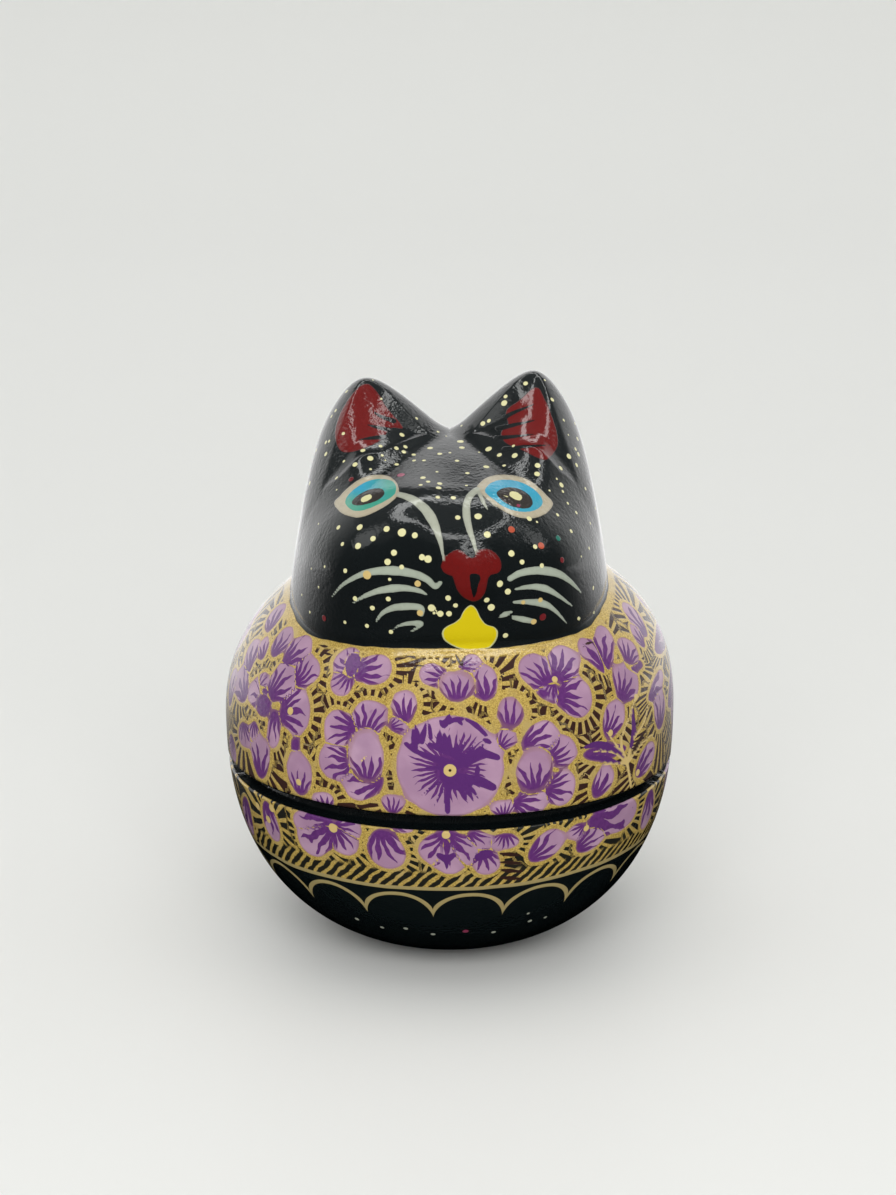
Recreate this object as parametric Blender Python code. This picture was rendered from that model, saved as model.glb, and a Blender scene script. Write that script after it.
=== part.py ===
"""Lacquered papier-mache cat box: a round bowl, and a lid that carries the cat's head.

Metres, +Z up. The origin is on the table under the middle of the foot, and the cat looks along -Y.
The body is turned. The head, ears and face are one field of depths, and the lid's skin is found
on it by rays that fan out from the upright axis.
"""

import math

import bmesh
import bpy
import numpy as np

# Round body
BELLY_RADIUS = 0.0450
BELLY_HEIGHT = 0.0466
BOWL_DROP = 0.0478
BOWL_FULLNESS = 2.40
SHOULDER_RISE = 0.0350
SHOULDER_FULLNESS = 2.25
SHOULDER_LEAN = 0.0018

# Seam: the lid's edge is hand cut, so it stands open most at the front and least at the back
SEAM_DROP = 0.0102
SEAM_OPENING = 0.00155
SEAM_OPENING_FRONT = 0.00125
SEAM_OPENING_LEFT = 0.0004
COLLAR_RISE = 0.0070
COLLAR_THICKNESS = 0.0014
FIT_GAP = 0.0003

# Walls
BOWL_WALL = 0.0032
BOWL_FLOOR = 0.0034
LID_WALL = 0.0031
HEAD_WALL = 0.0046

# Head
NECK_HEIGHT_SHARE = 0.62
HEAD_HALF_WIDTH = 0.0320
HEAD_FRONT_DEPTH = 0.0358
HEAD_BACK_DEPTH = 0.0325
HEAD_SQUARENESS = 2.6
HEAD_BACK_SQUARENESS = 2.2
CROWN_RISE = 0.0338
CROWN_SIDE_FALL = 0.0087
FOREHEAD_SLOPE = 0.20
NAPE_FALL = 0.0127
BROW_ROUNDING = 0.0090
BROW_ROUNDING_AT_EARS = 0.60
CROWN_EASE = 0.80
HEAD_LEAN = 0.103
HEAD_TAPER = 0.094
BROW_LEAN = 0.099
BROW_LEAN_FROM = 0.48
NECK_TUCK = 0.0005
NECK_TUCK_REACH = 0.0022
NECK_BLEND = 0.0007

# Ears: the hollow's corners are given on the plan from the ridge's crossing, as shares of its size
EAR_SPREAD = 0.0167
LEFT_EAR_RISE = 0.0442
RIGHT_EAR_RISE = 0.0457
EAR_LINE = 0.0050
EAR_INNER_SLOPE = 0.95
EAR_OUTER_SLOPE = 1.05
EAR_FRONT_SLOPE = 0.86
EAR_BACK_SLOPE = 0.95
EAR_ROUNDING = 0.0045
EAR_BLEND = 0.0030
EAR_HOLLOW_SIZE = 0.0200
EAR_HOLLOW_DEPTH = 0.0025
EAR_HOLLOW_SLOPE = 0.62
EAR_HOLLOW_ROUNDING = 0.04
EAR_HOLLOW_CORNERS = ((0.0, -0.06), (-0.63, -0.32), (-0.18, -0.82), (0.20, -0.96), (0.42, -0.86))

# Raised forms of the face: how far across and above the neck, how wide and how proud
FACE_FADE_FROM = 0.27
FACE_FADE_TO = 0.60
NOSE_OFFSET = 0.0044
NOSE_RISE = 0.0152
NOSE_RADIUS = 0.0066
NOSE_DEPTH = 0.0015
MUZZLE_OFFSET = 0.0022
MUZZLE_RISE = 0.0118
MUZZLE_RADIUS = 0.0150
MUZZLE_DEPTH = 0.0013
BRIDGE_RISE = 0.0272
BRIDGE_RADIUS = 0.0085
BRIDGE_DIP = 0.0006
CHEEK_SPREAD = 0.0178
CHEEK_RISE = 0.0128
CHEEK_RADIUS = 0.0125
CHEEK_DEPTH = 0.0012

# Rays that find the skin: where the topmost one starts, how early they climb and how they tilt
RAY_TOP_SHARE = 0.40
RAY_CLIMB_SHARE = 0.65
RAY_TILT_POWER = 1.2
RAY_STEPS = 64
BISECTIONS = 24

# Faceting
SEGMENTS = 64
LID_ROWS = 36
LID_INNER_ROWS = 11
BOWL_ROWS = 12
BOWL_INNER_ROWS = 9

NECK_HEIGHT = BELLY_HEIGHT + NECK_HEIGHT_SHARE * SHOULDER_RISE
SEAM_HEIGHT = BELLY_HEIGHT - SEAM_DROP
CROWN_HEIGHT = NECK_HEIGHT + CROWN_RISE


def body_radius(height, inset=0.0):
    """Radius of the turned body at a height, for the outer skin or for one set in by a wall."""
    above = height > BELLY_HEIGHT
    reach = np.where(above, SHOULDER_RISE, BOWL_DROP) - inset
    fullness = np.where(above, SHOULDER_FULLNESS, BOWL_FULLNESS)
    share = np.clip(np.abs(height - BELLY_HEIGHT) / reach, 0.0, 1.0)
    return (BELLY_RADIUS - inset) * (1.0 - share**fullness) ** (1.0 / fullness)


def lid_edge_height(angle):
    """Height of the lid's hand-cut edge at an angle about the axis. The front is at -90 degrees."""
    opening = SEAM_OPENING - SEAM_OPENING_FRONT * np.sin(angle) - SEAM_OPENING_LEFT * np.cos(angle)
    return SEAM_HEIGHT + np.maximum(opening, FIT_GAP)


def smooth_max(a, b, reach):
    """The larger of two depths, blended where they differ by less than reach."""
    near = np.maximum(reach - np.abs(a - b), 0.0) / reach
    return np.maximum(a, b) + 0.25 * reach * near**2


def smooth_min(a, b, reach):
    """The smaller of two depths, blended where they differ by less than reach."""
    return -smooth_max(-a, -b, reach)


def ridge(offset, slope_before, slope_after, rounding):
    """Fall on either side of a rounded ridge, with its own slope on each side."""
    mean = 0.5 * (slope_before + slope_after)
    lean = 0.5 * (slope_after - slope_before)
    return mean * (np.sqrt(offset**2 + rounding**2) - rounding) + lean * offset


def mound(x, z, centre_x, rise, radius):
    """A smooth low mound on the face, 1 in its middle and 0 at its radius."""
    reach = ((x - centre_x) ** 2 + (z - NECK_HEIGHT - rise) ** 2) / radius**2
    return np.clip(1.0 - reach, 0.0, 1.0) ** 2


def body_depth(x, y, z, inset):
    """Depth below the skin of the shoulders: negative inside, positive outside."""
    climb = np.clip((z - BELLY_HEIGHT) / SHOULDER_RISE, 0.0, 1.0)
    radius = np.hypot(x - SHOULDER_LEAN * climb**2 * (3.0 - 2.0 * climb), y)
    reach = np.where(z > BELLY_HEIGHT, SHOULDER_RISE, BOWL_DROP) - inset
    fullness = np.where(z > BELLY_HEIGHT, SHOULDER_FULLNESS, BOWL_FULLNESS)
    across = (radius / (BELLY_RADIUS - inset)) ** fullness
    upright = (np.abs(z - BELLY_HEIGHT) / reach) ** fullness
    return ((across + upright) ** (1.0 / fullness) - 1.0) * reach


def head_side_depth(x, y, z, inset):
    """Depth below the head's upright sides, which lean in towards the ears."""
    share = (z - NECK_HEIGHT) / CROWN_RISE
    lean = np.maximum(1.0 - HEAD_LEAN * share - HEAD_TAPER * np.maximum(share, 0.0) ** 2, 0.3)
    brow_lean = np.maximum(1.0 - BROW_LEAN * np.maximum(share - BROW_LEAN_FROM, 0.0) ** 2, 0.3)
    width = HEAD_HALF_WIDTH * lean - inset
    depth = np.where(y < 0.0, HEAD_FRONT_DEPTH * brow_lean, HEAD_BACK_DEPTH * lean) - inset
    frontness = np.clip(-y / (FACE_FADE_FROM * HEAD_FRONT_DEPTH), 0.0, 1.0)
    power = HEAD_BACK_SQUARENESS + (HEAD_SQUARENESS - HEAD_BACK_SQUARENESS) * frontness
    reach = (np.abs(x) / width) ** power + (np.abs(y) / depth) ** power
    return (reach ** (1.0 / power) - 1.0) * width


def crown_height(x, y):
    """Height of the forehead and nape, without the ears."""
    forward = np.sqrt(np.maximum(-y, 0.0) ** 2 + EAR_BLEND**2) - EAR_BLEND
    backward = np.maximum(y, 0.0) / HEAD_BACK_DEPTH
    sideways = x / HEAD_HALF_WIDTH
    fall = FOREHEAD_SLOPE * forward + NAPE_FALL * backward**2 + CROWN_SIDE_FALL * sideways**2
    return CROWN_HEIGHT - fall


def ear_height(x, y):
    """Height of the two ears' outer skins, each a rounded ridge that slopes to the front and back."""
    side = np.clip(0.5 + 0.5 * x / EAR_SPREAD, 0.0, 1.0)
    rise = LEFT_EAR_RISE + (RIGHT_EAR_RISE - LEFT_EAR_RISE) * side
    along = ridge(np.abs(x) - EAR_SPREAD, EAR_INNER_SLOPE, EAR_OUTER_SLOPE, EAR_ROUNDING)
    across = ridge(y - EAR_LINE, EAR_FRONT_SLOPE, EAR_BACK_SLOPE, EAR_ROUNDING)
    return NECK_HEIGHT + rise - along - across


def ear_hollow(x, y):
    """How deep the ear's hollow is sunk into it at a point on the plan."""
    corners = [
        (EAR_SPREAD + EAR_HOLLOW_SIZE * across, EAR_LINE + EAR_HOLLOW_SIZE * back)
        for across, back in EAR_HOLLOW_CORNERS
    ]
    inside = EAR_HOLLOW_SIZE
    for (x0, y0), (x1, y1) in zip(corners, corners[1:] + corners[:1]):
        length = math.hypot(x1 - x0, y1 - y0)
        from_edge = ((x1 - x0) * (y - y0) - (y1 - y0) * (np.abs(x) - x0)) / length
        inside = smooth_min(inside, from_edge, EAR_HOLLOW_ROUNDING * EAR_HOLLOW_SIZE)
    steepness = EAR_HOLLOW_SLOPE / EAR_HOLLOW_DEPTH
    return EAR_HOLLOW_DEPTH * (1.0 - np.exp(-np.maximum(inside, 0.0) * steepness))


def face_relief(x, y, z):
    """How far the nose, muzzle and cheeks stand out of the face, less the dip between the eyes."""
    relief = NOSE_DEPTH * mound(x, z, NOSE_OFFSET, NOSE_RISE, NOSE_RADIUS)
    relief = relief + MUZZLE_DEPTH * mound(x, z, MUZZLE_OFFSET, MUZZLE_RISE, MUZZLE_RADIUS)
    relief = relief - BRIDGE_DIP * mound(x, z, MUZZLE_OFFSET, BRIDGE_RISE, BRIDGE_RADIUS)
    for side in (-1.0, 1.0):
        relief = relief + CHEEK_DEPTH * mound(x, z, side * CHEEK_SPREAD, CHEEK_RISE, CHEEK_RADIUS)
    forward = (-y / HEAD_FRONT_DEPTH - FACE_FADE_FROM) / (FACE_FADE_TO - FACE_FADE_FROM)
    return relief * np.clip(forward, 0.0, 1.0)


def outer_depth(x, y, z):
    """Depth below the lid's painted skin: shoulders, head, ears and face."""
    shoulders = body_depth(x, y, z, 0.0)
    top = smooth_max(crown_height(x, y), ear_height(x, y), EAR_BLEND) - ear_hollow(x, y)
    from_ears = np.clip(2.0 * np.abs(y - EAR_LINE) / HEAD_FRONT_DEPTH, 0.0, 1.0)
    rounding = BROW_ROUNDING * (BROW_ROUNDING_AT_EARS + (1.0 - BROW_ROUNDING_AT_EARS) * from_ears)
    head = smooth_max(head_side_depth(x, y, z, 0.0), CROWN_EASE * (z - top), rounding)
    tuck = np.clip(1.0 - np.abs(shoulders) / NECK_TUCK_REACH, 0.0, 1.0) ** 2
    head = head - face_relief(x, y, z) + NECK_TUCK * tuck
    return smooth_min(shoulders, head, NECK_BLEND)


def inner_depth(x, y, z):
    """Depth below the lid's plain inner skin, which leaves the ears solid."""
    top = z - crown_height(x, y) + HEAD_WALL
    head = smooth_max(head_side_depth(x, y, z, HEAD_WALL), top, BROW_ROUNDING)
    return smooth_min(body_depth(x, y, z, LID_WALL), head, HEAD_WALL)


def ray_points(depth_field, angles, shares):
    """Points where rays from the axis leave a depth field, one row of them for each share.

    A share of 0 is a level ray at the lid's edge, and 1 points straight up.
    """
    share, angle = np.meshgrid(shares, angles, indexing="ij")
    start = lid_edge_height(angle)
    top_start = NECK_HEIGHT + RAY_TOP_SHARE * CROWN_RISE
    climb = np.sin(0.5 * math.pi * np.clip(share / RAY_CLIMB_SHARE, 0.0, 1.0))
    origin = start + (top_start - start) * climb
    tilt = 0.5 * math.pi * share**RAY_TILT_POWER
    level, upright = np.cos(tilt), np.sin(tilt)
    farthest = BELLY_RADIUS + CROWN_RISE

    def point(reach):
        return reach * level * np.cos(angle), reach * level * np.sin(angle), origin + reach * upright

    far = np.full_like(angle, farthest)
    step = farthest / RAY_STEPS
    for _ in range(RAY_STEPS):
        far = np.where(depth_field(*point(far)) > 0.0, far - step, far)
    near, out = far, far + step
    for _ in range(BISECTIONS):
        middle = 0.5 * (near + out)
        inside = depth_field(*point(middle)) < 0.0
        near, out = np.where(inside, middle, near), np.where(inside, out, middle)
    return np.stack(point(near), axis=-1)


def even_shares(depth_field, rows):
    """Shares for rows that lie evenly spaced along the skin, from the lid's edge up to the pole."""
    shares = np.linspace(0.0, 1.0, 160)
    angles = np.linspace(0.0, 2.0 * math.pi, 24, endpoint=False)
    points = ray_points(depth_field, angles, shares)
    steps = np.linalg.norm(np.diff(points, axis=0), axis=-1).mean(axis=1)
    lengths = np.concatenate([[0.0], np.cumsum(steps)])
    return np.interp(np.linspace(0.0, lengths[-1], rows + 1), lengths, shares)[:-1]


def add_rings(bm, rings, closed_end=None):
    """Adds each ring's points and the quads between rings, and a fan to a last point where one is given."""
    loops = [[bm.verts.new(tuple(map(float, p))) for p in ring] for ring in rings]
    count = len(loops[0])
    for lower, upper in zip(loops, loops[1:]):
        for i in range(count):
            j = (i + 1) % count
            bm.faces.new((lower[i], lower[j], upper[j], upper[i]))
    if closed_end is not None:
        tip = bm.verts.new(closed_end)
        for i in range(count):
            bm.faces.new((loops[-1][i], loops[-1][(i + 1) % count], tip))
    return loops


def finish_object(name, bm, colour, roughness):
    """Makes a named, smooth-shaded object with its own material from a closed mesh."""
    bmesh.ops.recalc_face_normals(bm, faces=bm.faces)
    if bm.calc_volume(signed=True) < 0.0:
        bmesh.ops.reverse_faces(bm, faces=bm.faces)
    mesh = bpy.data.meshes.new(name)
    bm.to_mesh(mesh)
    bm.free()
    mesh.shade_smooth()
    mesh.set_sharp_from_angle(angle=math.radians(40))
    material = bpy.data.materials.new(name + "_lacquer")
    material.use_nodes = True
    shader = material.node_tree.nodes["Principled BSDF"]
    shader.inputs["Base Color"].default_value = (*colour, 1.0)
    shader.inputs["Roughness"].default_value = roughness
    shader.inputs["Metallic"].default_value = 0.0
    mesh.materials.append(material)
    obj = bpy.data.objects.new(name, mesh)
    bpy.context.scene.collection.objects.link(obj)
    return obj


def bowl_profile():
    """The bowl's turned outline as (radius, height), from the foot's middle round to the floor's middle."""
    back_edge = float(np.min(lid_edge_height(np.linspace(0.0, 2.0 * math.pi, 361))))
    collar_outer = float(body_radius(back_edge, LID_WALL)) - FIT_GAP
    collar_inner = collar_outer - COLLAR_THICKNESS
    collar_top = SEAM_HEIGHT + COLLAR_RISE
    chamfer = 0.3 * COLLAR_THICKNESS
    outline = [(0.0, 0.0)]
    for share in np.linspace(0.0, 1.0, BOWL_ROWS):
        height = SEAM_HEIGHT * (1.0 - math.cos(0.5 * math.pi * share))
        outline.append((float(body_radius(height)), height))
    outline.append((collar_outer, SEAM_HEIGHT))
    outline.append((collar_outer, collar_top - chamfer))
    outline.append((collar_outer - chamfer, collar_top))
    outline.append((collar_inner, collar_top))
    for share in np.linspace(0.0, 1.0, BOWL_INNER_ROWS):
        height = SEAM_HEIGHT + (BOWL_FLOOR - SEAM_HEIGHT) * math.sin(0.5 * math.pi * share)
        radius = min(float(body_radius(height, BOWL_WALL)), collar_inner)
        outline.append((radius, height))
    outline.append((0.0, BOWL_FLOOR))
    return outline


def make_base_bowl():
    """The lower half: a turned bowl with a flat foot and the lid's collar in one."""
    bm = bmesh.new()
    verts = [bm.verts.new((radius, 0.0, height)) for radius, height in bowl_profile()]
    edges = [bm.edges.new(pair) for pair in zip(verts, verts[1:])]
    bmesh.ops.spin(
        bm,
        geom=verts + edges,
        cent=(0.0, 0.0, 0.0),
        axis=(0.0, 0.0, 1.0),
        angle=2.0 * math.pi,
        steps=SEGMENTS,
        use_merge=True,
    )
    bmesh.ops.remove_doubles(bm, verts=bm.verts, dist=0.00001)
    return finish_object("base_bowl", bm, colour=(0.36, 0.22, 0.42), roughness=0.25)


def make_cat_lid():
    """The upper half: hollow shoulders with the cat's head and both ears moulded on."""
    angles = np.linspace(0.0, 2.0 * math.pi, SEGMENTS, endpoint=False) - 0.5 * math.pi
    outer = ray_points(outer_depth, angles, even_shares(outer_depth, LID_ROWS))
    inner = ray_points(inner_depth, angles, even_shares(inner_depth, LID_INNER_ROWS))
    pole = ray_points(outer_depth, angles[:1], np.array([1.0]))[0, 0]
    inner_pole = ray_points(inner_depth, angles[:1], np.array([1.0]))[0, 0]
    bm = bmesh.new()
    skin = add_rings(bm, outer, closed_end=tuple(map(float, pole)))
    lining = add_rings(bm, inner, closed_end=tuple(map(float, inner_pole)))
    for i in range(SEGMENTS):
        j = (i + 1) % SEGMENTS
        bm.faces.new((skin[0][i], skin[0][j], lining[0][j], lining[0][i]))
    return finish_object("cat_lid", bm, colour=(0.05, 0.05, 0.06), roughness=0.2)


def main():
    """Clears the scene and builds the two pieces at rest."""
    for obj in list(bpy.data.objects):
        bpy.data.objects.remove(obj)
    make_base_bowl()
    make_cat_lid()


main()
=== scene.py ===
"""Lacquered papier-mache cat box: a painted bowl and a painted lid with the cat's head.

Metres, +Z up, the cat looks along -Y. The hand painting is laid out on the skin as named flowers,
face marks and dots. Each is placed where the eye meets it from the viewing place, and the rest of
the way round is filled in the same manner. The layout becomes smooth fields on a fine mesh, and the
lacquer material draws its crisp edges, brush combs and hatching from those fields.
"""

import logging
import math
from collections.abc import Iterable, Sequence
from dataclasses import dataclass
from enum import Enum
from typing import NamedTuple

import bpy
import numpy as np
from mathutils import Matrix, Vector


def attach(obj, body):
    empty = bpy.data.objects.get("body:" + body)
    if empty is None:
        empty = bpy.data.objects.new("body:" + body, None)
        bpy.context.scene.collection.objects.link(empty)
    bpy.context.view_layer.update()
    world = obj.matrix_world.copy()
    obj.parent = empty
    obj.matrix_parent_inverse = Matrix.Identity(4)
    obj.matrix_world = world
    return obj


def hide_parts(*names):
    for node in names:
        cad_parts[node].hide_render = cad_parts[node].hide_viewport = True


LOG = logging.getLogger("cat_box")
Array = np.ndarray
Pixel = tuple[float, float]
Colour = tuple[float, float, float]
MM = 1000.0

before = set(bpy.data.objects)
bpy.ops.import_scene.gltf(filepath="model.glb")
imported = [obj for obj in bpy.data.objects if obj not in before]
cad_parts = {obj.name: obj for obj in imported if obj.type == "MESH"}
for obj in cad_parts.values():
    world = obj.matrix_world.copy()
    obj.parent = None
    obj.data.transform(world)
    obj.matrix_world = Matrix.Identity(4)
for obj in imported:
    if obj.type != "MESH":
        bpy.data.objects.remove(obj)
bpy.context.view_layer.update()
DOT_GROUPS = ("one", "two")
GOLDEN_ANGLE = 137.50776
GOLDEN_SHARE = 0.618034


def linear(colour: Colour) -> Colour:
    """Turns a colour as the eye reads it on a screen into scene-linear light.

    Args:
        colour: Red, green and blue, each 0 to 1, as seen.

    Returns:
        The same colour in linear light.
    """
    return tuple(c / 12.92 if c <= 0.04045 else ((c + 0.055) / 1.055) ** 2.4 for c in colour)


class Paint(Enum):
    """The painter's colours, as the eye reads them."""

    BLACK = (0.050, 0.072, 0.078)
    CREAM = (0.84, 0.82, 0.62)
    WHITE = (0.68, 0.64, 0.55)
    BRUSH_WHITE = (0.64, 0.65, 0.59)
    WHISKER = (0.62, 0.65, 0.59)
    IRIS = (0.22, 0.60, 0.72)
    IRIS_GREEN = (0.24, 0.58, 0.46)
    PUPIL = (0.19, 0.17, 0.16)
    RED = (0.40, 0.05, 0.045)
    YELLOW = (0.80, 0.72, 0.02)
    PALE_EDGE = (0.78, 0.78, 0.56)
    GOLD = (0.78, 0.68, 0.44)
    PINK = (0.56, 0.22, 0.33)
    DARK_RED = (0.42, 0.10, 0.12)
    ORANGE = (0.68, 0.30, 0.20)
    GREEN = (0.10, 0.42, 0.36)
    VIOLET = (0.33, 0.15, 0.41)
    BROWN = (0.20, 0.12, 0.10)
    LILAC_THIN = (0.62, 0.49, 0.59)
    LILAC_THICK = (0.69, 0.56, 0.65)
    LILAC_DEEP = (0.60, 0.44, 0.56)
    COMB_DARK = (0.29, 0.12, 0.36)
    COMB_LIGHT = (0.42, 0.21, 0.47)
    PETAL_RIM = (0.55, 0.40, 0.38)
    FOOT_BLACK = (0.045, 0.075, 0.080)
    FOOT_GOLD = (0.69, 0.62, 0.42)
    PIP = (0.16, 0.10, 0.08)
    GOLD_DEEP = (0.64, 0.52, 0.25)
    GOLD_LIGHT = (0.84, 0.73, 0.40)
    LID_GROUND = (0.21, 0.12, 0.10)
    BOWL_GROUND = (0.12, 0.12, 0.10)


@dataclass(frozen=True)
class CatForm:
    """The form of the box: a turned body, and the head, ears and face as one field of depths."""

    belly_radius: float = 0.0450
    belly_height: float = 0.0466
    bowl_drop: float = 0.0478
    bowl_fullness: float = 2.40
    shoulder_rise: float = 0.0350
    shoulder_fullness: float = 2.25
    shoulder_lean: float = 0.0018
    seam_drop: float = 0.0102
    seam_opening: float = 0.00155
    seam_opening_front: float = 0.00125
    seam_opening_left: float = 0.0004
    collar_rise: float = 0.0070
    collar_thickness: float = 0.0014
    fit_gap: float = 0.0003
    bowl_wall: float = 0.0032
    bowl_floor: float = 0.0034
    lid_wall: float = 0.0031
    head_wall: float = 0.0046
    neck_height_share: float = 0.62
    head_half_width: float = 0.0320
    head_front_depth: float = 0.0358
    head_back_depth: float = 0.0325
    head_squareness: float = 2.6
    head_back_squareness: float = 2.2
    crown_rise: float = 0.0338
    crown_side_fall: float = 0.0087
    forehead_slope: float = 0.20
    nape_fall: float = 0.0127
    brow_rounding: float = 0.0090
    brow_rounding_at_ears: float = 0.60
    crown_ease: float = 0.80
    head_lean: float = 0.103
    head_taper: float = 0.094
    brow_lean: float = 0.099
    brow_lean_from: float = 0.48
    neck_tuck: float = 0.0005
    neck_tuck_reach: float = 0.0022
    neck_blend: float = 0.0007
    ear_spread: float = 0.0167
    left_ear_rise: float = 0.0442
    right_ear_rise: float = 0.0457
    ear_line: float = 0.0050
    ear_inner_slope: float = 0.95
    ear_outer_slope: float = 1.05
    ear_front_slope: float = 0.86
    ear_back_slope: float = 0.95
    ear_rounding: float = 0.0045
    ear_blend: float = 0.0030
    ear_hollow_size: float = 0.0200
    ear_hollow_depth: float = 0.0025
    ear_hollow_slope: float = 0.62
    ear_hollow_rounding: float = 0.04
    ear_hollow_corners: tuple[Pixel, ...] = (
        (0.0, -0.06),
        (-0.63, -0.32),
        (-0.18, -0.82),
        (0.20, -0.96),
        (0.42, -0.86),
    )
    neck_line: tuple[Pixel, ...] = (
        (-180.0, 72.4),
        (-150.0, 69.9),
        (-140.0, 68.9),
        (-125.0, 68.8),
        (-105.0, 69.2),
        (-90.0, 69.5),
        (-76.0, 69.4),
        (-57.0, 69.8),
        (-43.0, 70.0),
        (-32.0, 71.2),
        (0.0, 72.5),
        (180.0, 72.4),
    )
    face_fade_from: float = 0.27
    face_fade_to: float = 0.60
    nose: tuple[float, ...] = (0.0044, 0.0152, 0.0066, 0.0015)
    muzzle: tuple[float, ...] = (0.0022, 0.0118, 0.0150, 0.0013)
    bridge: tuple[float, ...] = (0.0022, 0.0272, 0.0085, -0.0006)
    right_cheek: tuple[float, ...] = (-0.0178, 0.0128, 0.0125, 0.0012)
    left_cheek: tuple[float, ...] = (0.0178, 0.0128, 0.0125, 0.0012)
    ray_top_share: float = 0.40
    ray_climb_share: float = 0.65
    ray_tilt_power: float = 1.2

    @property
    def neck_height(self) -> float:
        """Height where the head meets the shoulders at the front."""
        return self.belly_height + self.neck_height_share * self.shoulder_rise

    @property
    def seam_height(self) -> float:
        """Height of the bowl's rim."""
        return self.belly_height - self.seam_drop

    @property
    def crown_height(self) -> float:
        """Height of the saddle between the ears."""
        return self.neck_height + self.crown_rise

    def body_radius(self, height: Array | float, inset: float = 0.0) -> Array:
        """Radius of the turned body.

        Args:
            height: Height above the table.
            inset: How far in from the outer skin.

        Returns:
            The radius at each height.
        """
        above = np.asarray(height) > self.belly_height
        reach = np.where(above, self.shoulder_rise, self.bowl_drop) - inset
        fullness = np.where(above, self.shoulder_fullness, self.bowl_fullness)
        share = np.clip(np.abs(height - self.belly_height) / reach, 0.0, 1.0)
        return (self.belly_radius - inset) * (1.0 - share**fullness) ** (1.0 / fullness)

    def lid_edge_height(self, angle: Array) -> Array:
        """Height of the lid's hand-cut edge.

        Args:
            angle: Angle about the axis; the front is at -90 degrees.

        Returns:
            The height of the edge at each angle.
        """
        opening = self.seam_opening - self.seam_opening_front * np.sin(angle)
        opening = opening - self.seam_opening_left * np.cos(angle)
        return self.seam_height + np.maximum(opening, self.fit_gap)

    @staticmethod
    def smooth_max(a: Array, b: Array, reach: Array | float) -> Array:
        """Blends two depths into the larger.

        Args:
            a: One depth.
            b: The other depth.
            reach: The difference under which they blend.

        Returns:
            The blended larger depth.
        """
        near = np.maximum(reach - np.abs(a - b), 0.0) / reach
        return np.maximum(a, b) + 0.25 * reach * near**2

    @staticmethod
    def ridge(offset: Array, before: float, after: float, rounding: float) -> Array:
        """Falls away on both sides of a rounded ridge.

        Args:
            offset: Distance from the ridge.
            before: Slope on the negative side.
            after: Slope on the positive side.
            rounding: Radius of the top.

        Returns:
            The fall below the ridge's top.
        """
        mean, lean = 0.5 * (before + after), 0.5 * (after - before)
        return mean * (np.sqrt(offset**2 + rounding**2) - rounding) + lean * offset

    def body_depth(self, x: Array, y: Array, z: Array, inset: float) -> Array:
        """Depth below the skin of the turned body.

        Args:
            x: Place across.
            y: Place to the back.
            z: Height.
            inset: How far in from the outer skin.

        Returns:
            The depth, negative inside.
        """
        climb = np.clip((z - self.belly_height) / self.shoulder_rise, 0.0, 1.0)
        radius = np.hypot(x - self.shoulder_lean * climb**2 * (3.0 - 2.0 * climb), y)
        above = z > self.belly_height
        reach = np.where(above, self.shoulder_rise, self.bowl_drop) - inset
        fullness = np.where(above, self.shoulder_fullness, self.bowl_fullness)
        across = (radius / (self.belly_radius - inset)) ** fullness
        upright = (np.abs(z - self.belly_height) / reach) ** fullness
        return ((across + upright) ** (1.0 / fullness) - 1.0) * reach

    def head_side_depth(self, x: Array, y: Array, z: Array, inset: float) -> Array:
        """Depth below the head's upright sides.

        Args:
            x: Place across.
            y: Place to the back.
            z: Height.
            inset: How far in from the outer skin.

        Returns:
            The depth, negative inside.
        """
        share = (z - self.neck_height) / self.crown_rise
        over = np.maximum(share, 0.0)
        lean = np.maximum(1.0 - self.head_lean * share - self.head_taper * over**2, 0.3)
        brow = np.maximum(share - self.brow_lean_from, 0.0)
        brow_lean = np.maximum(1.0 - self.brow_lean * brow**2, 0.3)
        width = self.head_half_width * lean - inset
        front, back = self.head_front_depth * brow_lean, self.head_back_depth * lean
        depth = np.where(y < 0.0, front, back) - inset
        frontness = np.clip(-y / (self.face_fade_from * self.head_front_depth), 0.0, 1.0)
        squareness = self.head_squareness - self.head_back_squareness
        power = self.head_back_squareness + squareness * frontness
        reach = (np.abs(x) / width) ** power + (np.abs(y) / depth) ** power
        return (reach ** (1.0 / power) - 1.0) * width

    def crown_at(self, x: Array, y: Array) -> Array:
        """Height of the forehead and nape, without the ears.

        Args:
            x: Place across.
            y: Place to the back.

        Returns:
            The height of the top there.
        """
        forward = np.sqrt(np.maximum(-y, 0.0) ** 2 + self.ear_blend**2) - self.ear_blend
        backward = np.maximum(y, 0.0) / self.head_back_depth
        sideways = x / self.head_half_width
        fall = self.forehead_slope * forward + self.nape_fall * backward**2
        return self.crown_height - fall - self.crown_side_fall * sideways**2

    def ear_at(self, x: Array, y: Array) -> Array:
        """Height of the ears' outer skins.

        Args:
            x: Place across.
            y: Place to the back.

        Returns:
            The height of the ear's skin there.
        """
        side = np.clip(0.5 + 0.5 * x / self.ear_spread, 0.0, 1.0)
        rise = self.left_ear_rise + (self.right_ear_rise - self.left_ear_rise) * side
        outward = np.abs(x) - self.ear_spread
        along = self.ridge(outward, self.ear_inner_slope, self.ear_outer_slope, self.ear_rounding)
        behind = y - self.ear_line
        across = self.ridge(behind, self.ear_front_slope, self.ear_back_slope, self.ear_rounding)
        return self.neck_height + rise - along - across

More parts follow.
